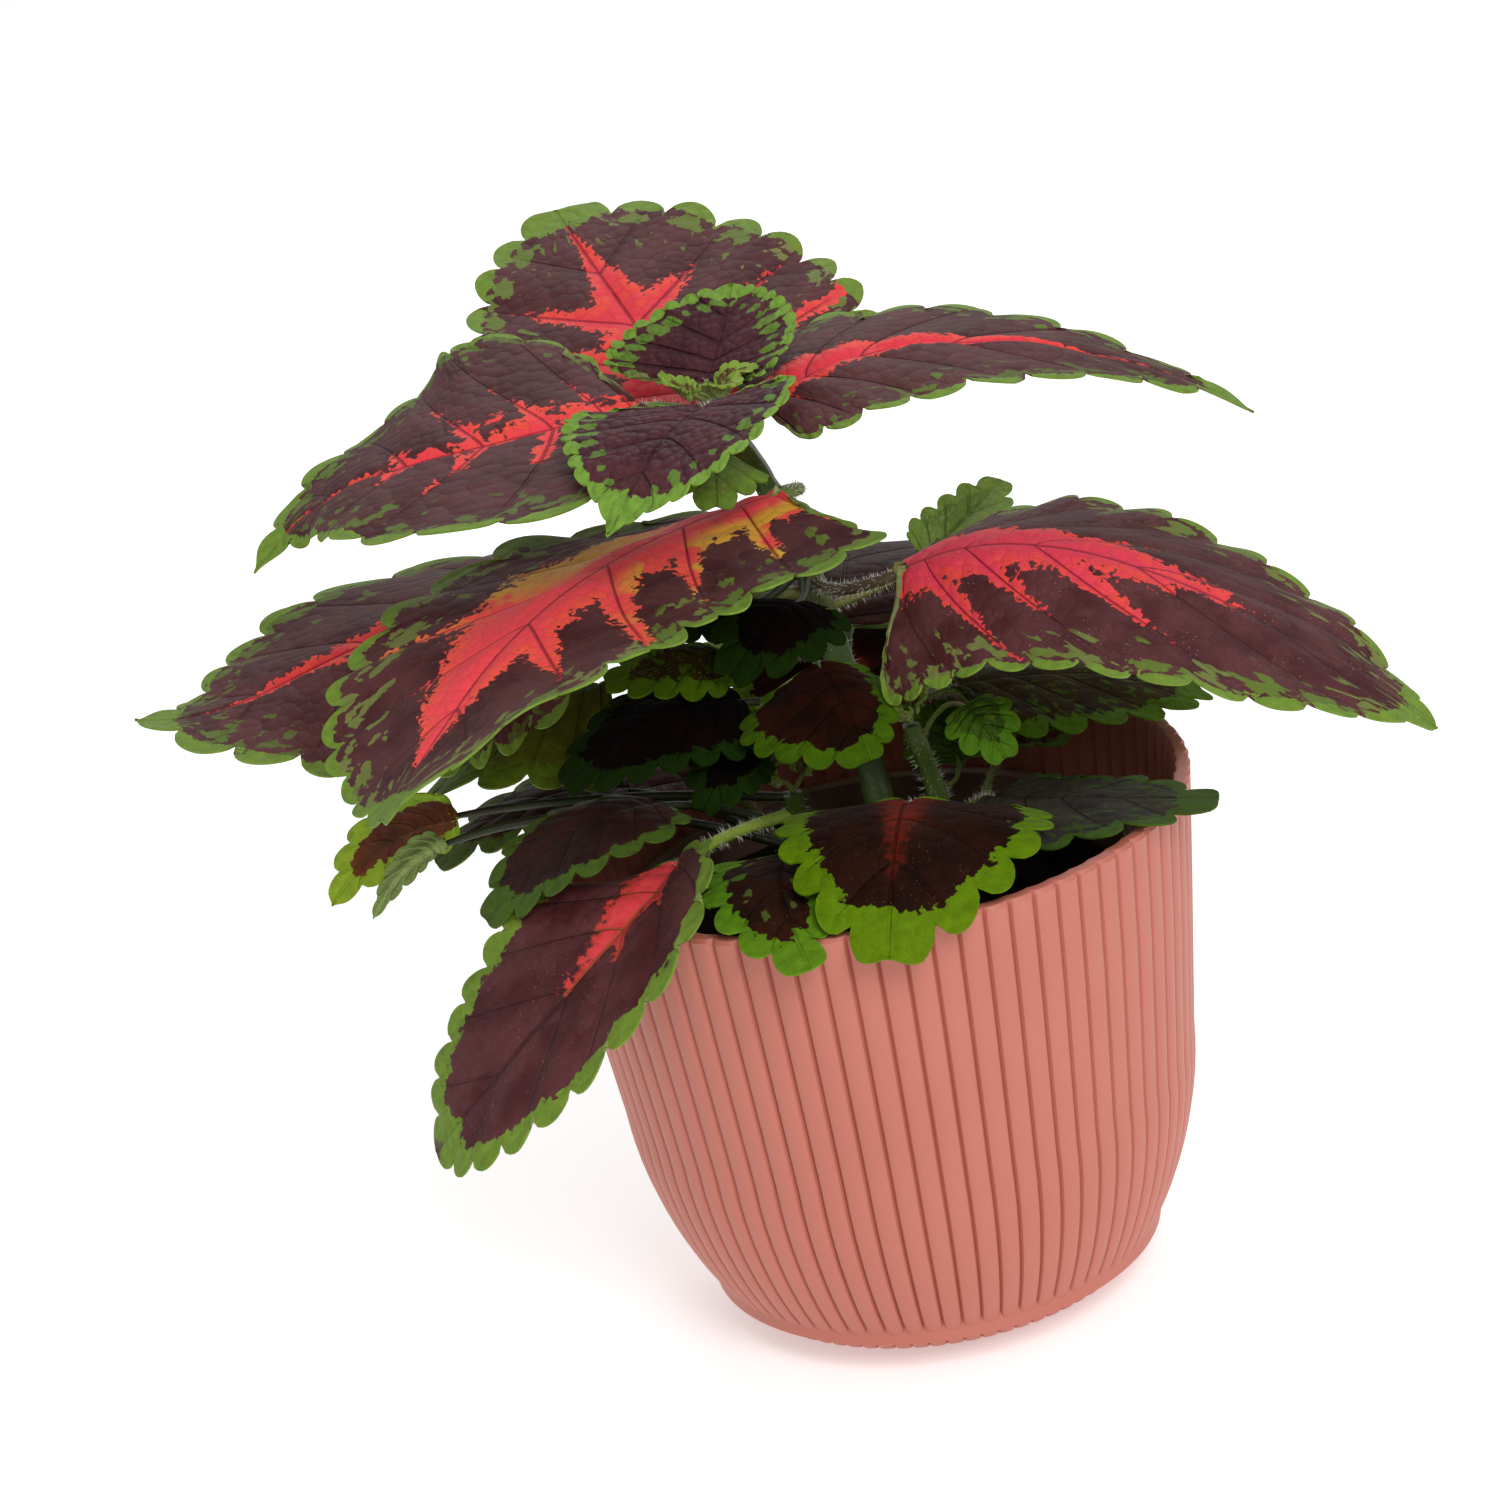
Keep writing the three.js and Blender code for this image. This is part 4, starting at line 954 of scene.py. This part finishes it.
def spread_to_margin(grid, leaf, look):
    """How far along and out from the midrib each point comes, with the margin cut into teeth."""
    length, phase, share, right = grid.length, grid.phase, grid.share, grid.right
    rim = np.empty((len(phase), 2))
    outward = np.empty((len(phase), 2))
    tooth = np.empty(len(phase))
    for side in (0, 1):
        here = right == side
        rim[here], outward[here], run = margin_line(leaf, side, phase[here])
        tooth[here] = run / leaf["teeth"]
    scallop = np.abs(np.sin(np.pi * (phase * leaf["teeth"] % 1) ** TOOTH_LEAN)) ** TOOTH_ROUNDNESS
    # The teeth grow over the first two and fade before the tip.
    calm = np.clip(phase * leaf["teeth"] / 2, 0, 1)
    calm = calm * np.clip((1 - phase) / (1 - look["tip_start"]), 0, 1) ** TOOTH_FADE
    depth = (TOOTH_DEPTH * scallop + TOOTH_FOOT) * of_half(look["tooth"], right)
    push = outward * (tooth * depth * calm * share ** TOOTH_REACH)[:, None]
    from_foot = rim[:, 0] - length * grid.foot
    along = length * grid.foot + from_foot * share ** VEIN_ARCH + push[:, 0]
    to_tip = np.clip((along / length - POINT_START) / (1 - POINT_START), 0, 1)
    grid.out = np.maximum(rim[:, 1] * share + push[:, 1], 0) * (1 - look["point"] * to_tip)
    grid.t = along / length * TIP_INSET
    # How far the margin is: straight out for the sides, towards the tip's margin at the tip.
    grid.rim_room = np.hypot(np.maximum(rim[:, 1], 0.01), from_foot)


def blade_lift(grid, leaf, look, seed):
    """Quilting: the blade puffs up between the side veins and dips along the midrib, its margin
    waves and the whole of it rolls gently."""
    phase, share = grid.phase, grid.share
    puff = np.sin(np.pi * grid.to_vein) ** PUFF_ROUNDNESS
    puff = puff * look["quilt"] * min(MOST_PUFF, grid.vein_spacing / PUFF_SPACING)
    puff = puff * np.clip(share / 0.12, 0, 1) * (1 - 0.6 * share) * np.clip((1 - phase) / 0.2, 0, 1)
    groove = GROOVE_DEPTH * np.exp(-(grid.out / GROOVE_HALF_WIDTH) ** 2) * (1 - grid.foot)
    wave = MARGIN_WAVE * of_half(leaf["wide"], grid.right) * share ** 3
    wave = wave * np.sin(np.pi * phase * leaf["teeth"] + seed)
    roll = ROLL_HEIGHT * np.sin(grid.out / 6 + seed) * np.sin(phase * 9 + 2 * seed) * share
    return puff - groove + wave + roll * np.clip((1 - phase) / 0.3, 0, 1)


def draw_maps(piece, grid, seed):
    """The maps that the finish reads, kept for each side of the midrib apart."""
    mesh = piece.data
    corner = np.empty(len(mesh.loops), int)
    mesh.loops.foreach_get("vertex_index", corner)
    corner_right = np.repeat(grid.column[corner].reshape(-1, 4).mean(axis=1) > 0, 4)
    while mesh.uv_layers:
        mesh.uv_layers.remove(mesh.uv_layers[0])
    block = VEIN_BLOCK * (2 * seed + corner_right)
    across = np.where(corner_right, 1, -1) * grid.out[corner] / 10
    maps = {
        "vein": (VEIN_START + grid.vein[corner] + block, grid.share[corner]),
        "flat": (grid.length * grid.t[corner] / 10 + 7.3 * seed, across),
        "rim": ((grid.rim_room * (1 - grid.share))[corner] / 10, grid.phase[corner]),
    }
    for map_name, (x, y) in maps.items():
        layer = mesh.uv_layers.new(name=map_name)
        layer.data.foreach_set("uv", np.stack([x, y], axis=1).astype(np.float32).ravel())


def blade_thickness(grid):
    """The midrib and the side veins stand out below."""
    rib = np.exp(-(grid.out / MIDRIB_HALF_WIDTH) ** 2)
    rib = rib * (MIDRIB_THICKNESS * (1 - grid.foot) - BLADE_THICKNESS)
    ridge = np.exp(-(grid.to_vein * grid.vein_spacing / SIDE_VEIN_HALF_WIDTH) ** 2)
    ridge = ridge * (SIDE_VEIN_THICKNESS - BLADE_THICKNESS) * (1 - grid.share)
    return BLADE_THICKNESS + np.maximum(rib, 0) + ridge * (1 - grid.phase)


def thicken(piece, thickness):
    """Closes the tip's and the base's doubles and gives the sheet its thickness, downwards."""
    group = piece.vertex_groups.new(name="thickness")
    for i, weight in enumerate(thickness / MIDRIB_THICKNESS):
        group.add([i], float(min(1, weight)), "REPLACE")
    choose(piece)
    bpy.ops.object.mode_set(mode="EDIT")
    bpy.ops.mesh.select_all(action="SELECT")
    bpy.ops.mesh.remove_doubles(threshold=0.00001)
    bpy.ops.mesh.flip_normals()
    bpy.ops.object.mode_set(mode="OBJECT")
    shell = piece.modifiers.new("thickness", "SOLIDIFY")
    shell.thickness = MIDRIB_THICKNESS * MM
    shell.offset = -1
    shell.vertex_group = "thickness"
    shell.material_offset = 1
    shell.material_offset_rim = 0
    bpy.ops.object.modifier_apply(modifier=shell.name)
    piece.vertex_groups.clear()


def blade(name, leaf, look, seed, materials):
    piece, grid = blade_grid(name, leaf, look)
    spread_to_margin(grid, leaf, look)
    lift = blade_lift(grid, leaf, look, seed)
    places = blade_point(leaf, grid.t, grid.right, grid.out, lift) * MM
    low, high = (np.array(corner) for corner in cad_box)
    set_points(piece, np.clip(places, low + BOX_INSET * MM, high - BOX_INSET * MM))
    draw_maps(piece, grid, seed)
    coat(piece, materials)
    thicken(piece, blade_thickness(grid))
    return piece


def stem_point(stem, height):
    """Where a stem's middle is at a height."""
    shares = np.linspace(0, 1, 400)
    path = curve_at(stem["path"], shares)
    return path[np.argmin(np.abs(path[:, 2] - height))]


def stalk_route(leaf):
    """The leaf stalk's middle, from inside the stem to under the blade's base."""
    base = curve_at(leaf["rib"], 0.0)
    if "stem" in leaf:
        start = stem_point(STEM_NAMED[leaf["stem"]], leaf["height"])
    else:
        start = np.array(leaf["stalk"], float)
    ahead = direction_at(leaf["rib"], 0.02)
    bend = base - ahead * STALK_BEND * np.linalg.norm(base - start)
    end = base + ahead * STALK_OVERLAP
    below = np.array([0, 0, -STALK_HALF_WIDTH * 0.9])
    s = np.linspace(0, 1, STALK_STEPS)[:, None]
    return (1 - s) ** 2 * start + 2 * s * (1 - s) * (bend + below) + s ** 2 * (end + below)


def stalk_radii(leaf):
    """Stouter on a longer leaf, thinner towards the blade, rounded off at the end."""
    length = rib_length(leaf)
    radius = SMALL_STALK if length > SHORT_LEAF else TINY_STALK
    if length > LONG_LEAF:
        radius = BIG_STALK
    radii = radius * np.linspace(1, STALK_TAPER, STALK_STEPS)
    radii[-3:] *= [0.9, 0.75, 0.5]
    return radii


def tube(name, route, radii):
    """A round stalk along a route, drawn as a curve and made a mesh."""
    deselect()
    bpy.ops.curve.primitive_nurbs_path_add()
    curve = bpy.context.object
    data = curve.data
    data.splines.clear()
    spline = data.splines.new("POLY")
    spline.points.add(len(route) - 1)
    for point, place, radius in zip(spline.points, route, radii):
        point.co = (*(place * MM), 1)
        point.radius = radius
    data.bevel_depth = MM
    data.bevel_resolution = 3
    data.use_fill_caps = True
    bpy.ops.object.convert(target="MESH")
    return named(bpy.context.object, name)


def hairs(name, route, radii, count, seed):
    """Fine hairs that stand out round a stalk: slim three-sided spikes."""
    random = np.random.default_rng(seed)
    share = random.uniform(0.08, 0.96, count)
    steps = np.linspace(0, 1, len(route))
    place = columns_at(share, steps, route)
    radius = np.interp(share, steps, radii)
    ahead = unit(columns_at(share, steps, unit(np.gradient(route, axis=0))))
    aside = unit(np.cross(ahead, random.normal(size=(count, 3))))
    third = np.cross(ahead, aside) * HAIR_WIDTH
    root = place + aside * (radius * 0.8)[:, None]
    stand = radius + random.uniform(0.7, 1.6, count)
    lean = random.uniform(-0.3, 0.5, count)
    tip = place + aside * stand[:, None] + ahead * lean[:, None]
    behind = root - ahead * HAIR_WIDTH / 2
    corners = [root + ahead * HAIR_WIDTH, behind + third, behind - third, tip]
    points = np.stack(corners, axis=1).reshape(-1, 3) * MM
    faces = []
    for a in range(0, 4 * count, 4):
        faces += [(a, a + 2, a + 1), (a, a + 1, a + 3), (a + 1, a + 2, a + 3), (a + 2, a, a + 3)]
    mesh = bpy.data.meshes.new(name)
    mesh.from_pydata(points.tolist(), [], faces)
    piece = bpy.data.objects.new(name, mesh)
    bpy.context.collection.objects.link(piece)
    return piece


def leaf_materials(name, look, leaf, seed):
    """Upper face, under face, stalk and hairs."""
    return [leaf_finish(name + "_top", look, leaf, seed),
            leaf_finish(name + "_under", look, leaf, seed, under=not look["same_below"]),
            stalk_finish(name + "_stalk", look["stalk"]), HAIR]


def leaf_pieces(leaf, look, seed, name, materials):
    """One leaf's blade, stalk and hairs."""
    sheet = blade(name, leaf, look, seed, materials)
    route = stalk_route(leaf)
    radii = stalk_radii(leaf)
    stalk = tube(name + "_stalk", route, radii)
    coat(stalk, materials, 2)
    pieces = [sheet, stalk]
    if rib_length(leaf) > SHORT_LEAF and look["hairs"] > 0:
        fuzz = hairs(name + "_hairs", route, radii, look["hairs"], seed)
        coat(fuzz, materials, 3)
        pieces.append(fuzz)
    return pieces


def make_leaf(leaf, seed):
    leaf = USUAL_LEAF | leaf
    look = USUAL_LOOK | LOOKS[leaf["look"]]
    node = "leaf_" + leaf["name"]
    name = node + "_fine"
    piece = join(leaf_pieces(leaf, look, seed, name, leaf_materials(name, look, leaf, seed)))
    smooth(piece, 50)
    dress(piece, node, "leaf")


def young_leaf(shoot, i):
    """Every second leaf of a shoot tip is an inner one: shorter and more upright."""
    x, y, z = shoot["at"]
    inner = i % 2
    reach = shoot["reach"] * (1 - 0.25 * inner)
    angle = math.radians(shoot["turn"] + SHOOT_SPREAD * i)
    at = lambda out, up: [x + out * math.cos(angle), y + out * math.sin(angle), z + up]
    return USUAL_LEAF | dict(
        stalk=at(0, 0), teeth=6, wide=0.34 * reach, fold=12, curl=8,
        rib=[at(0.25 * reach, 3 + inner), at(0.6 * reach, 2 + 0.35 * reach),
             at(reach, 2 + (0.4 + 0.3 * inner) * reach)],
        face=[-0.8 * math.cos(angle), -0.8 * math.sin(angle), 1])


def make_shoot(shoot, seed):
    """A few tiny leaves round the top of a stem."""
    look = USUAL_LOOK | LOOKS["shoot"]
    name = shoot["name"] + "_fine"
    leaves = [young_leaf(shoot, i) for i in range(shoot["leaves"])]
    materials = leaf_materials(name, look, leaves[0], seed)
    pieces = []
    for leaf in leaves:
        pieces += leaf_pieces(leaf, look, seed, name, materials)
    piece = named(join(pieces), name)
    smooth(piece, 50)
    dress(piece, shoot["name"], "young_leaf")


# ---------------------------------------------------------------- stems

STEM_NAMED = {stem["name"]: stem for stem in STEMS}


def square_off(piece, path):
    """Makes a round stem square with round edges and a shallow groove down each side."""
    points = points_of(piece) / MM
    middle = columns_at(points[:, 2], path[:, 2], path[:, :2])
    offset = points[:, :2] - middle
    angle = np.arctan2(offset[:, 1], offset[:, 0])
    square = 1 / (np.abs(np.cos(angle)) ** 5 + np.abs(np.sin(angle)) ** 5) ** (1 / 5)
    grooved = square - STEM_GROOVE * np.cos(2 * angle) ** 8
    points[:, :2] = middle + offset * grooved[:, None]
    set_points(piece, points * MM)


def make_stem(stem, seed):
    """A stem, swollen where leaves grow."""
    heights = [leaf["height"] for leaf in LEAVES if leaf["stem"] == stem["name"]]
    shares = np.linspace(0, 1, STEM_STEPS)
    path = curve_at(stem["path"], shares)
    half = np.interp(shares, [0, 1], stem["thick"]) / 2
    knots = sum(np.exp(-((path[:, 2] - height) / KNOT_HALF_LENGTH) ** 2) for height in heights)
    half = half * (1 + KNOT_SWELLING * np.minimum(knots, 1))
    node = "stem_" + stem["name"]
    piece = drawn_out(node + "_fine", path, half, STEM_SIDES)
    square_off(piece, path)
    coat(piece, [stalk_finish(node + "_skin", STEM_GREEN, 0.15), HAIR])
    bare = BARE_STEM_STEPS
    fuzz = hairs(node + "_hairs", path[bare:], half[bare:] * 1.1, STEM_HAIRS, seed)
    coat(fuzz, list(piece.data.materials), 1)
    piece = join([piece, fuzz])
    smooth(piece, 50)
    dress(piece, node, "stem")


# ---------------------------------------------------------------- pot and soil

def wall_radius(z):
    """Outer radius of the pot at a height."""
    if z >= BOWL_TOP_HEIGHT:
        rise = (z - BOWL_TOP_HEIGHT) / (POT_HEIGHT - BOWL_TOP_HEIGHT)
        return BOWL_TOP_RADIUS + (RIM_RADIUS - BOWL_TOP_RADIUS) * rise
    drop = (BOWL_TOP_HEIGHT - z) / BOWL_TOP_HEIGHT
    bulge = (1 - drop ** BOWL_ROUNDNESS) ** (1 / BOWL_ROUNDNESS)
    return BOWL_FOOT_RADIUS + (BOWL_TOP_RADIUS - BOWL_FOOT_RADIUS) * bulge


def pot_profile():
    """The pot's outline from the middle of its underside out, up, over the lip and back down
    inside, in two parts: outside and inside."""
    rib_top = POT_HEIGHT - LIP_HEIGHT
    lip = RIM_RADIUS - LIP_STEP
    inner = RIM_RADIUS - POT_WALL
    outer = [(0.5, 0), (15, 0), (30, 0), (FOOT_RADIUS - 0.8, 0),
             (FOOT_RADIUS, 0.8), (FOOT_RADIUS, FOOT_HEIGHT - 0.4)]
    outer += [(wall_radius(z), z) for z in (FOOT_HEIGHT + 0.6, *POT_RINGS, rib_top - 1)]
    outer += [(wall_radius(rib_top), rib_top - 0.2), (lip + 0.15, rib_top), (lip, rib_top + 0.3),
              (lip, POT_HEIGHT - 0.5), (lip - 0.2, POT_HEIGHT - 0.12), (lip - 0.6, POT_HEIGHT)]
    inside = [(inner + 0.7, POT_HEIGHT), (inner + 0.25, POT_HEIGHT - 0.12), (inner, POT_HEIGHT - 0.6)]
    inside += [(wall_radius(z) - POT_WALL, z) for z in INNER_POT_RINGS]
    inside += [(50, 9), (42, 6), (36, POT_FLOOR), (18, POT_FLOOR), (0.5, POT_FLOOR)]
    return outer, inside


def rib_cut(angle, z, is_inside):
    """How deep the wall is cut between the ribs, outside and in."""
    rib_top = POT_HEIGHT - LIP_HEIGHT
    across = np.abs((angle * RIB_COUNT / (2 * np.pi) + 0.5) % 1 - 0.5) * 2
    full = np.interp(z, [0, FOOT_HEIGHT - 0.4, FOOT_HEIGHT + 0.6, 8, rib_top - 0.6, rib_top, POT_HEIGHT],
                     [0.25, 0.3, 0.7, RIB_DEPTH, RIB_DEPTH, 0.9, 0.7])
    outer_cut = full * (0.6 * across ** RIB_ROUNDNESS + 0.4 * across ** 10 + 0.25 * across ** 16)
    inner_cut = np.interp(z, [16, 40, 110, POT_HEIGHT], [0, INNER_RIB_DEPTH, INNER_RIB_DEPTH, 0.4])
    return np.where(is_inside, inner_cut * across ** 2, outer_cut)


def make_pot():
    """The outer pot, turned smooth and then ribbed outside and in."""
    outer, inside = pot_profile()
    sides = RIB_COUNT * POINTS_A_RIB
    piece = turned("ribbed_pot", outer + inside, sides)
    points = points_of(piece) / MM
    x, y, z = points.T
    radius = np.hypot(x, y)
    angle = np.arctan2(y, x)
    is_inside = np.arange(len(points)) // sides >= len(outer)
    cut = rib_cut(angle, z, is_inside) * (radius > PLAIN_RADIUS)
    # The rim isn't quite round: it waves by a fraction of a millimetre.
    sway = RIM_SWAY * (np.sin(3 * angle + 0.7) - 1) * np.clip((z - 90) / 24, 0, 1)
    points[:, :2] *= ((radius - cut + sway) / np.maximum(radius, 0.001))[:, None]
    set_points(piece, points * MM)
    smooth(piece, 35)
    finish = Finish("salmon_pink")
    place = finish.place()
    mottle = finish.noise(place, 35, 4)
    finish.set(base_color=finish.mottled(mottle, POT_PINKS), roughness=mottle * 0.14 + 0.42,
               specular_ior_level=0.45)
    finish.bump(finish.noise(place, 1400, 2), 0.00006)
    dress(piece, "pot", "pink_pot", finish.material)


def insert_radius(z):
    rise = (z - INSERT_BOTTOM) / (INSERT_TOP - INSERT_BOTTOM)
    return INSERT_BOTTOM_RADIUS + (INSERT_TOP_RADIUS - INSERT_RIM_WIDTH - INSERT_BOTTOM_RADIUS) * rise


def make_grower_pot():
    """The thin grower's pot that stands inside, with a rolled rim."""
    foot, low, top = INSERT_BOTTOM_RADIUS, INSERT_BOTTOM, INSERT_TOP
    step = top - INSERT_RIM_HEIGHT
    rim = INSERT_TOP_RADIUS
    inner = insert_radius(top) - INSERT_WALL
    profile = [(0.5, low), (20, low), (foot - 1.5, low), (foot - 0.4, low + 0.4), (foot, low + 1.5)]
    profile += [(insert_radius(z), z) for z in (20, 40, 60, 80, step - 1)]
    profile += [(insert_radius(step), step - 0.3), (rim - 0.6, step), (rim - 0.1, step + 0.4),
                (rim, step + 1.2), (rim, top - 1.2), (rim - 0.3, top - 0.3), (rim - 1, top)]
    profile += [(inner + 0.8, top), (inner + 0.1, top - 0.5), (inner, top - 1.5)]
    profile += [(insert_radius(z) - INSERT_WALL, z) for z in (80, 50, 20)]
    profile += [(foot - INSERT_WALL, low + INSERT_WALL), (0.5, low + INSERT_WALL)]
    piece = turned("taupe_grower_pot", profile, 128)
    smooth(piece)
    finish = Finish("taupe_plastic")
    place = finish.place()
    mottle = finish.noise(place, 60, 3)
    finish.set(base_color=finish.mottled(mottle, TAUPES), roughness=mottle * 0.2 + 0.4)
    finish.bump(finish.noise(place, 900, 2), 0.00008)
    dress(piece, "grower_pot", "taupe_pot", finish.material)


def heap(distance, edge):
    """How much higher the soil is heaped at a distance from the middle."""
    return SOIL_CROWN * (1 - (distance / edge) ** 2)


def crumb(random, edge):
    distance = (edge - 3) * math.sqrt(random.uniform(0.01, 1))
    angle = random.uniform(0, 2 * math.pi)
    size = random.uniform(0.7, 2.2)
    place = (distance * math.cos(angle), distance * math.sin(angle),
             SOIL_TOP + heap(distance, edge) + 0.3 * size)
    deselect()
    bpy.ops.mesh.primitive_ico_sphere_add(subdivisions=1, radius=size * MM, location=Vector(place) * MM)
    piece = bpy.context.object
    piece.rotation_euler = random.uniform(0, 6, 3)
    piece.scale = random.uniform(0.5, 1.1, 3)
    bpy.ops.object.transform_apply(location=True, rotation=True, scale=True)
    return piece


def make_soil():
    """Potting soil, darkened as painted shade under the leaves, heaped a little towards the stems, with
    loose crumbs on it.
    """
    slack = INSERT_WALL + SOIL_SLACK
    low = INSERT_BOTTOM + slack
    edge = insert_radius(SOIL_TOP) - slack
    profile = [(0.5, low), (insert_radius(low) - slack, low), (insert_radius(50) - slack, 50),
               (edge, SOIL_TOP - 1)]
    profile += [(edge * share, SOIL_TOP) for share in np.linspace(0.99, 0.03, 30)]
    piece = turned("potting_soil", profile, 120)
    points = points_of(piece) / MM
    x, y, z = points.T
    radius = np.hypot(x, y)
    lumps = sum(height * np.sin(x * pitch + shift) * np.cos(y * pitch * 1.13 + 2 * shift)
                for height, pitch, shift in SOIL_WAVES)
    is_top = z >= SOIL_TOP - 0.01
    points[:, 2] += is_top * (lumps + heap(radius, edge)) * np.clip((edge - radius) / 3, 0, 1)
    set_points(piece, points * MM)
    random = np.random.default_rng(11)
    piece = join([piece] + [crumb(random, edge) for _ in range(CRUMBS)])
    smooth(piece, 60)
    finish = Finish("soil_with_painted_shade")
    place = finish.place()
    finish.set(base_color=finish.mottled(finish.noise(place, 220, 4), SOIL_BROWNS), roughness=0.95,
               specular_ior_level=0.2)
    finish.bump(finish.noise(place, 700, 4), 0.0006)
    dress(piece, "soil", "soil", finish.material)


# ---------------------------------------------------------------- camera, light and floor

IMAGE_SIDE = 1500
FOCAL_PIXELS = 4523
CAMERA_ELEVATION = 0.444
CAMERA_ROLL = 0.165
CAMERA_DISTANCE = 0.992
POT_OFFSET = (155.2, -287.6)
SENSOR = 36

# Each light: its place, its size and its power in watts.
LIGHTS = {"key": ((0.34, -1.05, 1.0), 0.6, 11), "back": ((0.1, 1.0, 1.0), 0.8, 4)}
LIT_POINT = Vector((0, 0, 0.12))
SKY_STRENGTH = 0.62
FLOOR_GLOW = 0.36


def make_camera():
    """Looks at the pot's middle, then turns so that the pot sits right and low in the frame."""
    deselect()
    bpy.ops.object.camera_add()
    camera = bpy.context.object
    camera.data.sensor_width = SENSOR
    camera.data.lens = FOCAL_PIXELS / IMAGE_SIDE * SENSOR
    back = Vector((0, -math.cos(CAMERA_ELEVATION), math.sin(CAMERA_ELEVATION)))
    up = Vector((0, math.sin(CAMERA_ELEVATION), math.cos(CAMERA_ELEVATION)))
    level = Matrix((Vector((1, 0, 0)), up, back)).transposed()
    pot_ray = Vector((*POT_OFFSET, -FOCAL_PIXELS)).normalized()
    aim = Vector((0, 0, -1)).rotation_difference(pot_ray).to_matrix()
    roll = Matrix.Rotation(CAMERA_ROLL, 3, "Z")
    camera.rotation_mode = "QUATERNION"
    camera.rotation_quaternion = (level @ (aim @ roll).inverted()).to_quaternion()
    camera.location = Vector((0, 0, POT_HEIGHT * MM / 2)) + back * CAMERA_DISTANCE
    camera.data.clip_end = 30
    bpy.context.scene.camera = camera


def make_light(name, place, size, watts):
    deselect()
    bpy.ops.object.light_add(type="AREA", location=place)
    light = bpy.context.object
    light.name = name
    light.data.size = size
    light.data.energy = watts
    light.rotation_mode = "QUATERNION"
    light.rotation_quaternion = (LIT_POINT - Vector(place)).to_track_quat("-Z", "Y")


def make_stage():
    deselect()
    bpy.ops.mesh.primitive_plane_add(size=12)
    floor = named(bpy.context.object, "floor")
    finish = Finish("pale_floor")
    finish.set(base_color=(0.92, 0.92, 0.92, 1), roughness=0.9, specular_ior_level=0.1,
               emission_color=(1, 1, 1, 1), emission_strength=FLOOR_GLOW)
    floor.data.materials.append(finish.material)
    scene = bpy.context.scene
    scene.view_settings.view_transform = "Standard"
    world = bpy.data.worlds.new("studio")
    world.use_nodes = True
    sky = world.node_tree.nodes["Background"]
    sky.inputs["Color"].default_value = (1, 1, 1, 1)
    sky.inputs["Strength"].default_value = SKY_STRENGTH
    scene.world = world
    for name, (place, size, watts) in LIGHTS.items():
        make_light(name, place, size, watts)


# ---------------------------------------------------------------- build

HAIR = hair_finish()
make_pot()
make_grower_pot()
make_soil()
for number, stem in enumerate(STEMS):
    make_stem(stem, 40 + number)
for number, leaf in enumerate(LEAVES):
    make_leaf(leaf, number + 1)
for number, shoot in enumerate(SHOOTS):
    make_shoot(shoot, 60 + 5 * number)
make_camera()
make_stage()
